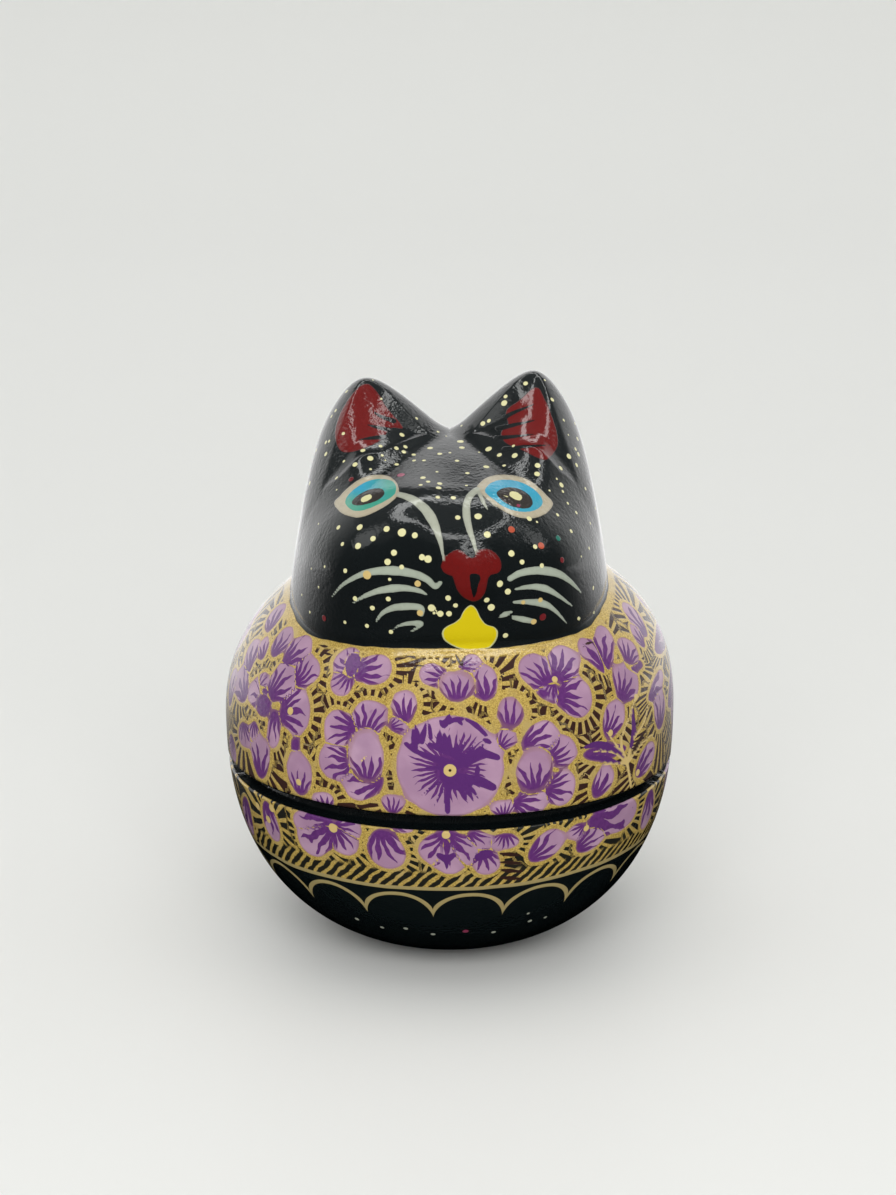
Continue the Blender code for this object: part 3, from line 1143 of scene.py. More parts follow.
    def dots(self) -> list[Dot]:
        """Lays out the dots on the head, listed at the front and evenly scattered elsewhere.

        Returns:
            The dots.
        """
        garden = Garden(self.form, self.sight)
        lower = (
            (43, 52, 24), (583, 48, 34), (615, 73, 28), (569, 98, 24), (688, 86, 32), (681, 117, 34),
            (856, 97, 18), (671, 15, 18), (862, 20, 26), (676, 173, 28), (773, 178, 32), (1298, 30, 36),
            (1449, 96, 34), (1460, 135, 20), (1374, 133, 16), (1490, 210, 20), (1545, 268, 24),
            (1427, 281, 24), (1248, 308, 34), (1297, 327, 16), (801, 302, 32), (929, 297, 44),
            (985, 409, 42), (451, 392, 50), (534, 413, 36), (355, 370, 38), (273, 434, 34), (187, 360, 40),
            (180, 479, 40), (53, 360, 30), (83, 467, 26), (401, 519, 36), (363, 577, 38), (577, 547, 36),
            (616, 559, 44), (97, 632, 28), (451, 608, 28), (376, 684, 20), (160, 805, 30), (366, 808, 30),
            (266, 865, 30), (638, 862, 44), (653, 897, 18), (692, 900, 38), (747, 898, 34), (742, 802, 34),
            (788, 848, 28), (94, 955, 22), (234, 975, 26), (383, 1014, 26), (1512, 384, 26),
            (1285, 482, 28), (1137, 524, 38), (1204, 577, 30), (1328, 600, 28), (1061, 711, 40),
            (1115, 762, 36), (980, 810, 34), (1011, 861, 42), (1099, 1035, 32), (1560, 933, 20),
        )
        upper = (
            (35, 85, 28), (213, 151, 32), (148, 132, 18), (260, 68, 30), (303, 113, 36),
            (365, 40, 24), (461, 50, 28), (515, 41, 26), (505, 75, 28), (664, 52, 34), (566, 90, 26),
            (567, 124, 24), (627, 126, 24), (722, 84, 30), (784, 79, 18), (827, 126, 26), (462, 152, 26),
            (305, 176, 16), (393, 124, 12), (373, 97, 18), (101, 232, 22), (103, 303, 12),
            (847, 12, 40), (856, 50, 34), (1018, 58, 40), (1083, 93, 30), (1111, 159, 20),
            (1177, 98, 36), (1003, 164, 36), (1168, 38, 20), (960, 78, 14), (1312, 155, 34),
            (1449, 172, 32), (1498, 101, 34), (1546, 152, 28), (1540, 55, 24), (1425, 237, 14),
        )
        ears = (
            (424, 241, 14), (369, 334, 14), (360, 427, 13), (684, 343, 12), (632, 268, 8), (553, 270, 8),
            (630, 404, 20), (854, 371, 10), (796, 409, 8), (765, 393, 12), (935, 363, 19), (957, 352, 15),
            (1013, 285, 24), (1019, 262, 15), (1093, 214, 18), (1063, 197, 9), (1163, 200, 9),
            (1191, 272, 17), (1233, 349, 12), (1250, 404, 8), (522, 200, 8), (322, 971, 10),
            (258, 1000, 10), (289, 1064, 10), (294, 902, 8), (343, 895, 10), (320, 735, 8), (1328, 826, 12),
            (1332, 733, 12), (1300, 857, 8), (1344, 974, 15), (1345, 1065, 12), (1288, 1087, 13),
            (1315, 604, 13),
        )
        for sheet, spots in ((MUZZLE_PRINT, lower), (BROW_PRINT, upper), (HEAD_PRINT, ears)):
            self.spot(garden, sheet, spots, Paint.CREAM)
        self.spot(garden, MUZZLE_PRINT, ((236, 656, 52), (552, 711, 38), (567, 893, 38)), Paint.GOLD)
        self.spot(garden, MUZZLE_PRINT, ((1211, 829, 26), (1319, 815, 30), (1277, 951, 36)), Paint.GOLD)
        self.spot(garden, MUZZLE_PRINT, ((445, 33, 48),), Paint.PINK)
        self.spot(garden, MUZZLE_PRINT, ((135, 62, 34), (1335, 922, 44), (1451, 565, 34)), Paint.DARK_RED)
        self.spot(garden, HEAD_PRINT, ((343, 1086, 22),), Paint.DARK_RED)
        self.spot(garden, MUZZLE_PRINT, ((1136, 376, 42), (1320, 477, 42)), Paint.ORANGE)
        self.spot(garden, MUZZLE_PRINT, ((1428, 429, 36),), Paint.GREEN)
        for k in range(170):
            azimuth = (k * GOLDEN_ANGLE) % 360.0
            front = abs((azimuth + 90.0 + 180.0) % 360.0 - 180.0)
            if front < 72.0:
                continue
            share = (k * GOLDEN_SHARE * 1.7) % 1.0
            height = self.form.neck_height + 0.0075 + share * 0.036
            place = self.form.skin_at(azimuth, height)
            if self.form.head_depth(*place[:, None])[0] < 0.0005:
                garden.dots.append(Dot(place, 0.30 + 0.22 * ((k * 0.37) % 1.0), linear(Paint.CREAM.value)))
        return garden.dots

    def spot(
        self, garden: Garden, sheet: Print, spots: Iterable[tuple[float, float, float]], colour: Paint
    ) -> None:
        """Sets dots down where they were measured on a print.

        Args:
            garden: Keeps the dots.
            sheet: The print.
            spots: Place and width on the print of each.
            colour: Their paint.
        """
        listed = list(spots)
        places = sheet.at(*[(x, y) for x, y, _ in listed])
        radii = [0.5 * width / sheet.scale / self.scale for _, _, width in listed]
        garden.seen_dots([(x, y, radius) for (x, y), radius in zip(places, radii)], colour)


class Graph:
    """A material's node tree, with short ways to add its maths, masks and mixes."""

    def __init__(self, tree: bpy.types.NodeTree) -> None:
        """Wraps a material's or the world's node tree."""
        self.tree = tree

    def node(self, kind: str, **settings: object) -> bpy.types.Node:
        """Adds a node.

        Args:
            kind: Its type.
            **settings: Values for its own properties.

        Returns:
            The node.
        """
        made = self.tree.nodes.new(kind)
        for name, value in settings.items():
            setattr(made, name, value)
        return made

    def feed(self, socket: bpy.types.NodeSocket, value: object) -> None:
        """Links a socket, or sets it where the value is a number or a colour."""
        if isinstance(value, bpy.types.NodeSocket):
            self.tree.links.new(value, socket)
        else:
            socket.default_value = value

    def attribute(self, name: str, output: str = "Fac") -> bpy.types.NodeSocket:
        """Reads one of the skin's own fields."""
        return self.node("ShaderNodeAttribute", attribute_name=name).outputs[output]

    def math(self, operation: str, *values: object, clamp: bool = False) -> bpy.types.NodeSocket:
        """Adds one sum.

        Args:
            operation: Its name.
            *values: Its one to three terms.
            clamp: Whether the result is held between 0 and 1.

        Returns:
            The result's socket.
        """
        made = self.node("ShaderNodeMath", operation=operation, use_clamp=clamp)
        for socket, value in zip(made.inputs, values):
            self.feed(socket, value)
        return made.outputs[0]

    def times(self, *values: object) -> bpy.types.NodeSocket:
        """Multiplies two values."""
        return self.math("MULTIPLY", *values)

    def plus(self, *values: object, clamp: bool = False) -> bpy.types.NodeSocket:
        """Adds two values."""
        return self.math("ADD", *values, clamp=clamp)

    def minus(self, *values: object) -> bpy.types.NodeSocket:
        """Takes the second value from the first."""
        return self.math("SUBTRACT", *values)

    def rest_of(self, value: object, clamp: bool = False) -> bpy.types.NodeSocket:
        """What is left of one: the opposite of a mask."""
        return self.math("SUBTRACT", 1.0, value, clamp=clamp)

    def most(self, *values: object) -> bpy.types.NodeSocket:
        """The larger of two values."""
        return self.math("MAXIMUM", *values)

    def shake(self, reach: float, scale: float, detail: float = 2.0) -> bpy.types.NodeSocket:
        """An unsteady hand: a cloudy pattern about zero, as wide in all as its reach."""
        return self.times(self.minus(self.noise(scale, detail), 0.5), reach)

    def step(self, value: object, low: float, high: float) -> bpy.types.NodeSocket:
        """A mask that rises smoothly from 0 at low to 1 at high."""
        made = self.node("ShaderNodeMapRange", interpolation_type="SMOOTHSTEP", clamp=True)
        for name, item in (("Value", value), ("From Min", low), ("From Max", high)):
            self.feed(made.inputs[name], item)
        return made.outputs[0]

    def mix(self, factor: object, low: object, high: object) -> bpy.types.NodeSocket:
        """Mixes two colours."""
        made = self.node("ShaderNodeMix", data_type="RGBA")
        self.feed(made.inputs[0], factor)
        for socket, value in ((made.inputs[6], low), (made.inputs[7], high)):
            self.feed(socket, (*value, 1.0) if isinstance(value, tuple) else value)
        return made.outputs[2]

    def noise(self, scale: float, detail: float = 2.0, colour: bool = False) -> bpy.types.NodeSocket:
        """A cloudy pattern fixed to the object."""
        made = self.node("ShaderNodeTexNoise")
        self.feed(made.inputs["Vector"], self.node("ShaderNodeTexCoord").outputs["Object"])
        made.inputs["Scale"].default_value = scale
        made.inputs["Detail"].default_value = detail
        return made.outputs["Color" if colour else "Fac"]

    def split(self, vector: bpy.types.NodeSocket) -> tuple[bpy.types.NodeSocket, ...]:
        """The three parts of a vector."""
        made = self.node("ShaderNodeSeparateXYZ")
        self.feed(made.inputs[0], vector)
        return tuple(made.outputs)


class Layers(NamedTuple):
    """The paint so far: its colour, the mask of gold and the mask of thick paint."""

    colour: bpy.types.NodeSocket
    gold: bpy.types.NodeSocket
    raised: bpy.types.NodeSocket


@dataclass(frozen=True)
class LacquerPaint:
    """The painter's finish: brush colours and gold lines under a thick clear lacquer."""

    name: str
    has_face: bool
    band_height: float = 23.65
    band_rise: float = 0.85
    scallops: int = 18

    def build(self) -> bpy.types.Material:
        """Builds the material.

        Returns:
            The material.
        """
        material = bpy.data.materials.new(self.name)
        material.use_nodes = True
        tree = material.node_tree
        graph = Graph(tree)
        shader = tree.nodes["Principled BSDF"]
        flowers = self.flowers(graph)
        over = self.face(graph, flowers) if self.has_face else self.foot(graph, flowers)
        colour, gold, raised = self.dots(graph, over)
        lip = graph.plus(graph.attribute("lip"), graph.times(graph.noise(900.0), -0.9))
        bare = graph.rest_of(graph.step(lip, -0.25, -0.05))
        colour = graph.mix(bare, colour, linear(Paint.BLACK.value))
        kept = graph.rest_of(bare)
        gold = graph.times(gold, kept)
        graph.feed(shader.inputs["Base Color"], colour)
        graph.feed(shader.inputs["Metallic"], graph.times(gold, 0.25))
        graph.feed(shader.inputs["Roughness"], graph.plus(0.46, graph.times(gold, -0.08)))
        shader.inputs["Coat Weight"].default_value = 1.0
        shader.inputs["Coat Roughness"].default_value = 0.045
        shader.inputs["Coat IOR"].default_value = 1.5
        shader.inputs["Specular IOR Level"].default_value = 0.10
        self.relief(graph, shader, raised)
        return material

    @staticmethod
    def relief(graph: Graph, shader: bpy.types.Node, raised: bpy.types.NodeSocket) -> None:
        """Gives the lacquer its slow waves, fine pits and the paint's own thickness.

        Args:
            graph: The node tree.
            shader: The surface shader.
            raised: Mask of the thick paint.
        """
        waves = graph.times(graph.noise(110.0, 1.0), 0.00022)
        brushed = graph.plus(0.35, graph.times(graph.step(graph.noise(70.0, 1.0), 0.40, 0.60), 0.65))
        wrinkle = graph.times(graph.times(graph.noise(1300.0, 2.0), brushed), 0.00009)
        peel = graph.plus(graph.times(graph.noise(900.0, 2.0), 0.000014), wrinkle)
        height = graph.plus(graph.plus(waves, peel), graph.times(raised, 0.00005))
        bump = graph.node("ShaderNodeBump")
        bump.inputs["Strength"].default_value = 1.0
        bump.inputs["Distance"].default_value = 1.0
        graph.feed(bump.inputs["Height"], height)
        graph.feed(shader.inputs["Normal"], bump.outputs[0])
        graph.feed(shader.inputs["Coat Normal"], bump.outputs[0])

    @staticmethod
    def gold_paint(graph: Graph) -> bpy.types.NodeSocket:
        """The speckled colour of the gold paint."""
        speckle = graph.noise(3600.0, 2.0)
        cloud = graph.noise(260.0, 2.0)
        spread = graph.step(speckle, 0.30, 0.70)
        warm = graph.mix(spread, linear(Paint.GOLD_DEEP.value), linear(Paint.GOLD_LIGHT.value))
        return graph.mix(graph.step(cloud, 0.44, 0.80), warm, linear((0.76, 0.66, 0.42)))

    def flowers(self, graph: Graph) -> Layers:
        """Paints the petals, their combs and outlines, and the hatched ground between them.

        Args:
            graph: The node tree.

        Returns:
            The colour, the mask of gold and the mask of thick paint.
        """
        wobble = graph.shake(0.9, 330.0, 2.0)
        edge = graph.plus(graph.attribute("petal_edge"), wobble)
        between = graph.attribute("petal_between")
        comb_u, comb_v, teeth = graph.split(graph.attribute("petal_comb", "Vector"))
        around_u, around_v, ticks = graph.split(graph.attribute("petal_around", "Vector"))
        seed, wash, reach = graph.split(graph.attribute("petal_tone", "Vector"))
        cloud = graph.noise(420.0, 2.0)
        fine = graph.noise(1500.0, 2.0)
        turn = 0.5 / math.pi
        angle = graph.times(graph.math("ARCTAN2", comb_v, comb_u), turn)
        phase = graph.times(angle, teeth)
        phase = graph.plus(phase, graph.times(seed, 5.0))
        phase = graph.plus(phase, graph.times(graph.noise(300.0, 1.0), 1.3))
        tooth = graph.math("PINGPONG", phase, 0.5)
        tooth = graph.times(tooth, 2.0)
        away = graph.math("SQRT", graph.plus(graph.math("POWER", comb_u, 2.0),
                                             graph.math("POWER", comb_v, 2.0)))
        shag = graph.plus(0.62, graph.times(cloud, 0.76))
        limit = graph.times(graph.times(reach, shag),
                           graph.plus(0.58, graph.times(tooth, 0.80)))
        comb = graph.step(graph.minus(limit, away), -0.018, 0.018)
        washed = graph.step(graph.plus(wash, graph.times(cloud, 0.7)), 0.86, 1.0)
        violet = graph.most(comb, washed)
        lilac = graph.mix(graph.step(graph.noise(160.0, 2.0), 0.35, 0.65),
                          linear(Paint.LILAC_THIN.value), linear(Paint.LILAC_THICK.value))
        lilac = graph.mix(graph.times(seed, 0.35), lilac, linear(Paint.LILAC_DEEP.value))
        dark = graph.mix(fine, linear(Paint.COMB_DARK.value), linear(Paint.COMB_LIGHT.value))
        petal = graph.mix(violet, lilac, dark)
        fill = graph.step(edge, 0.55, 0.85)
        fill = graph.times(fill, graph.step(between, 0.24, 0.36))
        border = graph.rest_of(graph.step(edge, 0.8, 1.6))
        petal = graph.mix(graph.times(border, 0.45), petal, linear(Paint.PETAL_RIM.value))
        ground_angle = graph.times(graph.math("ARCTAN2", around_v, around_u), turn)
        ring = graph.times(ground_angle, ticks)
        ring = graph.plus(ring, graph.times(graph.noise(150.0, 1.0), 0.6))
        tick = graph.times(graph.math("PINGPONG", ring, 0.5), 2.0)
        outward = graph.times(edge, -1.0)
        duty = graph.plus(0.28, graph.times(graph.noise(200.0, 1.0), 0.34))
        hatch = graph.step(graph.minus(tick, duty), -0.07, 0.07)
        if not self.has_face:
            x, y, z = graph.split(graph.node("ShaderNodeTexCoord").outputs["Object"])
            slant = graph.times(graph.math("ARCTAN2", y, x), 18.0)
            slant = graph.plus(slant, graph.times(z, -420.0))
            slant = graph.plus(slant, graph.times(cloud, 0.7))
            fringe = graph.times(graph.math("PINGPONG", slant, 0.5), 2.0)
            fringe = graph.step(graph.minus(fringe, 0.42), -0.10, 0.10)
            low = graph.rest_of(graph.step(z, 0.0270, 0.0282))
            hatch = graph.plus(graph.times(hatch, graph.rest_of(low)),
                               graph.times(fringe, low))
        hatch = graph.times(hatch, graph.step(outward, 0.75, 1.0))
        filled = graph.step(graph.noise(120.0, 1.0), 0.74, 0.78)
        hatch = graph.times(hatch, graph.rest_of(filled))
        if self.has_face:
            collar = graph.times(graph.attribute("neck"), -1.0)
            hatch = graph.times(hatch, graph.step(collar, 1.0, 1.5))
        gold_colour = self.gold_paint(graph)
        brown = Paint.LID_GROUND if self.has_face else Paint.BOWL_GROUND
        ground = graph.mix(hatch, gold_colour, linear(brown.value))
        colour = graph.mix(fill, ground, petal)
        gold = graph.times(graph.rest_of(fill), graph.rest_of(hatch))
        brush = graph.node("ShaderNodeAttribute", attribute_name="brush")
        jitter = graph.shake(0.2, 700.0, 2.0)
        stroke = graph.step(graph.plus(brush.outputs["Alpha"], jitter), -0.06, 0.06)
        colour = graph.mix(stroke, colour, brush.outputs["Color"])
        gold = graph.times(gold, graph.rest_of(stroke))
        raised = graph.plus(gold, graph.times(fill, 0.35))
        return Layers(colour, gold, raised)

    def face(self, graph: Graph, under: Layers) -> Layers:
        """Paints the black head and the marks of its face over the flowers.

        Args:
            graph: The node tree.
            under: The paint so far.

        Returns:
            The paint with these over it.
        """
        colour, gold, raised = under
        wobble = graph.shake(0.5, 240.0, 1.0)
        head = graph.step(graph.plus(graph.attribute("neck"), wobble), -0.05, 0.08)
        streak = graph.noise(1100.0, 3.0)
        painted: object = linear(Paint.BLACK.value)
        thick: object = 0.0
        shiver = graph.shake(0.16, 900.0, 2.0)
        for layer in range(4):
            node = graph.node("ShaderNodeAttribute", attribute_name=f"face_{layer}")
            inside = graph.plus(node.outputs["Alpha"], shiver)
            mask = graph.step(inside, -0.05, 0.05)
            shade = node.outputs["Color"]
            if layer == 0:
                thin = graph.step(inside, 0.0, 0.5)
                strength = graph.plus(0.80, graph.times(graph.times(thin, streak), 0.4),
                                      clamp=True)
                mask = graph.times(mask, strength)
            painted = graph.mix(mask, painted, shade)
            thick = graph.most(thick, mask)
        colour = graph.mix(head, colour, painted)
        gold = graph.times(gold, graph.rest_of(head))
        raised = graph.mix(head, raised, thick)
        return Layers(colour, gold, raised)

    def foot(self, graph: Graph, under: Layers) -> Layers:
        """Paints the bowl's black bottom with its gold line and scallops.

        Args:
            graph: The node tree.
            under: The paint so far.

        Returns:
            The paint with these over it.
        """
        colour, gold, raised = under
        x, y, z = graph.split(graph.node("ShaderNodeTexCoord").outputs["Object"])
        height = graph.times(z, MM)
        angle = graph.times(graph.math("ARCTAN2", y, x), 0.5 / math.pi)
        waver = graph.shake(1.1, 70.0, 1.0)
        side = graph.times(x, self.band_rise * MM / 45.0)
        line = graph.minus(height, graph.plus(self.band_height, side))
        line = graph.plus(line, waver)
        turn = graph.plus(graph.times(angle, float(self.scallops)), 0.735)
        share = graph.minus(graph.times(graph.math("FRACT", turn), 2.0), 1.0)
        bow = graph.math("POWER", graph.math("ABSOLUTE", share), 2.1)
        arch = graph.math("POWER", graph.rest_of(bow, clamp=True), 0.62)
        drop = graph.minus(-6.5, graph.times(arch, -5.0))
        scallop = graph.minus(line, drop)
        steep = graph.plus(0.34, graph.times(graph.math("POWER", graph.math("ABSOLUTE", share), 4.0), 0.62))
        near_line = graph.rest_of(graph.step(graph.math("ABSOLUTE", line), 0.36, 0.46))
        near_arch = graph.minus(graph.math("ABSOLUTE", scallop), steep)
        near_arch = graph.rest_of(graph.step(near_arch, 0.0, 0.12))
        below = graph.rest_of(graph.step(line, -0.1, 0.1))
        black = graph.mix(below, colour, linear(Paint.FOOT_BLACK.value))
        drawn = graph.most(near_line, graph.times(near_arch, below))
        colour = graph.mix(drawn, black, linear(Paint.FOOT_GOLD.value))
        gold = graph.most(graph.times(gold, graph.rest_of(below)), drawn)
        raised = graph.most(graph.times(raised, graph.rest_of(below)), drawn)
        return Layers(colour, gold, raised)

    def dots(self, graph: Graph, under: Layers) -> Layers:
        """Paints the dots last of all.

        Args:
            graph: The node tree.
            under: The paint so far.

        Returns:
            The paint with these over it.
        """
        colour, gold, raised = under
        for suffix in DOT_GROUPS:
            length = graph.node("ShaderNodeVectorMath", operation="LENGTH")
            graph.feed(length.inputs[0], graph.attribute(f"dot_offset_{suffix}", "Vector"))
            paint = graph.node("ShaderNodeAttribute", attribute_name=f"dot_paint_{suffix}")
            radius = paint.outputs["Alpha"]
            away = graph.minus(length.outputs["Value"], radius)
            away = graph.plus(away, graph.shake(0.12, 1400.0))
            mask = graph.rest_of(graph.step(away, -0.05, 0.05))
            close = graph.plus(graph.times(radius, 0.4), 0.16 if self.has_face else 0.55)
            near = graph.attribute(f"dot_near_{suffix}")
            mask = graph.times(mask, graph.math("LESS_THAN", near, close))
            colour = graph.mix(mask, colour, paint.outputs["Color"])
            pip = graph.rest_of(graph.step(length.outputs["Value"], 0.22, 0.34))
            pip = graph.times(graph.times(pip, mask), graph.math("GREATER_THAN", radius, 1.0))
            colour = graph.mix(pip, colour, linear(Paint.PIP.value))
            gold = graph.times(gold, graph.rest_of(mask))
            raised = graph.most(raised, mask)
        return Layers(colour, gold, raised)


def set_field(mesh: bpy.types.Mesh, name: str, values: Array) -> None:
    """Writes one field onto a mesh's points.

    Args:
        mesh: The mesh.
        name: The field's name.
        values: One number, three numbers or four numbers for each point.
    """
    kind, target = {1: ("FLOAT", "value"), 3: ("FLOAT_VECTOR", "vector"), 4: ("FLOAT_COLOR", "color")}[
        1 if values.ndim == 1 else values.shape[1]
    ]
    attribute = mesh.attributes.new(name, kind, "POINT")
    attribute.data.foreach_set(target, np.ascontiguousarray(values, dtype=np.float32).ravel())


def start_piece(name: str) -> bpy.types.Object:
    """Names the newest primitive and its mesh, and returns it."""
    piece = bpy.context.object
    piece.name = name
    piece.data.name = name
    return piece


def points_of(mesh: bpy.types.Mesh) -> Array:
    """The places of a mesh's points, in metres."""
    points = np.empty(len(mesh.vertices) * 3, dtype=np.float32)
    mesh.vertices.foreach_get("co", points)
    return points.reshape(-1, 3).astype(float)


@dataclass
class PaintedLid:
    """The lid: hollow shoulders with the cat's head, painted with flowers and the face."""

    form: CatForm
    sight: Sight
    segments: int = 420
    outer_rows: int = 210
    inner_rows: int = 18
    front_density: float = 0.30

    def shell(self) -> tuple[bpy.types.Object, Array]:
        """Shapes the closed shell from a ball.

        Returns:
            The piece, and for each of its points whether it is on the painted skin.
        """
        form = self.form
        spread = np.linspace(-math.pi, math.pi, self.segments, endpoint=False)
        angles = spread - self.front_density * np.sin(spread) - 0.5 * math.pi
        outer = form.ray_points(False, angles, form.even_shares(False, self.outer_rows))
        inner = form.ray_points(True, angles, form.even_shares(True, self.inner_rows))
        poles = [form.ray_points(side, angles[:1], np.array([1.0]))[0, 0] for side in (False, True)]
        edge, lining = outer[0].copy(), inner[0].copy()
        across = lining - edge
        up = np.array([0.0, 0.0, 0.00010])
        outer[0] = edge + 4.5 * up
        inner[0] = lining + 4.5 * up
        rim = [edge + 0.05 * across + 1.2 * up, edge + 0.16 * across, edge + 0.5 * across]
        rim += [edge + 0.84 * across, edge + 0.95 * across + 1.2 * up]
        rings = np.concatenate([outer[::-1], np.array(rim), inner])
        count = len(rings) + 1
        bpy.ops.object.select_all(action="DESELECT")
        bpy.ops.mesh.primitive_uv_sphere_add(segments=self.segments, ring_count=count, radius=1.0)
        piece = start_piece("painted_cat_lid")
        ball = points_of(piece.data)
        row = np.rint(np.arccos(np.clip(ball[:, 2], -1.0, 1.0)) / math.pi * count).astype(int)
        column = np.rint((np.arctan2(ball[:, 1], ball[:, 0]) / (2.0 * math.pi) + 0.5) * self.segments)
        column = column.astype(int) % self.segments
        places = rings[np.clip(row - 1, 0, count - 2), column]
        places[row == 0] = poles[0]
        places[row == count] = poles[1]
        piece.data.vertices.foreach_set("co", places.astype(np.float32).ravel())
        piece.data.update()
        return piece, row <= self.outer_rows

    def garden(self) -> Garden:
        """Lays out the flowers on the shoulders.

        Returns:
            The petals and their centres' dots.
        """
        garden = Garden(self.form, self.sight)
        seen = garden.seen
        seen((281, 712), (311, 712), 4.0)
        seen((271, 697), (294, 669), 3.4)
        seen((296.5, 683), (318, 661), 3.0)
        seen((284, 664), (312, 640), 2.8)
        seen((273.6, 657), (292, 628), 2.4)
        seen((267.5, 699.6), (250, 688), 2.6, wash=0.25)
        seen((275, 710), (274, 747), 1.8, wash=0.3)
        seen((245, 700), (240, 670), 3.0)
        seen((243, 722), (246, 747), 3.0)
        seen((269.2, 631), (281.5, 604.5), 2.7)
        seen((249, 671), (255, 640), 2.5)
        seen((258, 690), (268, 675), 1.6, wash=0.5)
        seen((262, 660), (266, 638), 1.5)
        seen((230, 706), (236, 668), 2.6)
        seen((256, 722), (253, 742), 1.7)
        seen((300, 740), (293, 747), 1.0, wash=0.9)
        seen((232, 735), (233, 760), 3.0)
        seen((262, 716), (266, 697), 2.2, wash=0.8, on_top=True)
        seen((260.6, 777.7), (260.6, 735), 3.2, rim=0.62)
        seen((300.4, 794.5), (299.6, 753), 3.1, rim=0.62, reach=0.5)
        seen((327, 811), (321, 791.5), 2.4)
        seen((393, 813), (393, 794.5), 2.1)
        seen((354.5, 730), (325, 726), 3.3)
        seen((367, 735), (373, 701), 3.1, wash=0.42)
        seen((353, 761), (320, 762.5), 3.3)
        seen((382, 779), (345.5, 788), 2.9)
        seen((367.7, 779.5), (367.7, 731.5), 3.3, on_top=True, rim=0.72, flare=0.0, reach=0.45)
        seen((353, 670.5), (341, 653), 2.6)
        seen((356, 673.5), (392, 667.5), 2.9)
        seen((350, 673.5), (335, 693.5), 2.4)
        seen((350, 676.6), (356, 653.7), 1.5, wash=0.9, on_top=True, rim=0.12)
        seen((406, 721), (403.7, 690.5), 2.3, rim=0.75)
        seen((391, 728), (405, 723), 1.4, wash=0.5)
        seen((446.5, 680), (420.5, 670.5), 2.1, wash=0.2)
        seen((484.7, 701), (485.6, 666.4), 2.2)
        seen((461, 668), (479, 658), 1.5, wash=0.4)
        seen((457.4, 701), (456.5, 673), 2.9, on_top=True, rim=0.85, flare=0.0)
        seen((510, 727), (509.6, 697.5), 2.4, rim=1.05, flare=0.0)
        seen((549.4, 686.3), (523, 658), 3.1)
        seen((556, 679.7), (569.3, 649), 3.1)
        seen((557.7, 698), (591, 698), 3.6)
        seen((552, 684), (545, 700), 2.0, wash=0.6)
        seen((604, 669.8), (579, 640), 2.0)
        seen((603.8, 669), (602.5, 626), 2.2)
        seen((646.5, 636), (623, 603), 2.6)
        seen((644, 647.6), (630.6, 626), 1.5, on_top=True, rim=0.4)
        seen((642, 665), (625.5, 668), 1.0, wash=0.8)
        seen((668, 706), (672, 664), 2.6)
        seen((655, 652), (663, 626), 2.2)
        seen((648, 700), (662, 672), 1.7)
        seen((620.7, 699.6), (629, 668), 3.8)
        seen((605.8, 736), (619.5, 703), 2.8)
        seen((625.7, 747.7), (584, 755), 1.5, wash=0.8)
        seen((659, 729.5), (659, 691), 3.0)
        seen((635.6, 776), (654, 744.4), 2.6)
        seen((628, 662), (628, 639.5), 2.8, rim=0.6, on_top=True)
        seen((593.4, 797), (610.8, 767), 2.5, rim=0.62)
        seen((523, 746), (556, 727.8), 2.7)
        seen((551, 761), (574, 742.7), 2.8)
        seen((546, 787.5), (574, 787.5), 3.4)
        seen((514.6, 803), (546, 802), 2.9)
        seen((500, 746), (512, 732), 1.6)
        seen((503, 816), (501, 801), 2.0)
        seen((533.6, 791), (533.6, 750), 3.5, on_top=True, rim=0.76, flare=0.0, reach=0.55)
        seen((450, 716), (450, 816), 9.9, centred=True, teeth=34.0, reach=0.52, rim=0.60, flare=0.0)
        garden.seen_dots(((450, 770, 1.2), (290.4, 711, 0.75), (554.7, 679.4, 0.6), (299, 782, 0.65)),
                         Paint.GOLD)
        garden.seen_dots(((609.5, 732.8, 0.65), (636, 697, 0.6), (637.3, 772.5, 0.7)), Paint.GOLD)
        for k in range(8):
            azimuth = -3.0 + 24.0 * k
            garden.rosette(azimuth, 0.0475, 8.6, 5, 18.0 + 31.0 * k)
            garden.rosette(azimuth + 12.0, 0.0615, 7.6, 5, 40.0 + 47.0 * k)
            garden.rosette(azimuth + 12.0, 0.0425, 3.4, 1, 90.0 + 20.0 * (k % 3))
            garden.rosette(azimuth, 0.0680, 3.2, 1, 80.0 + 25.0 * (k % 2))
        return garden

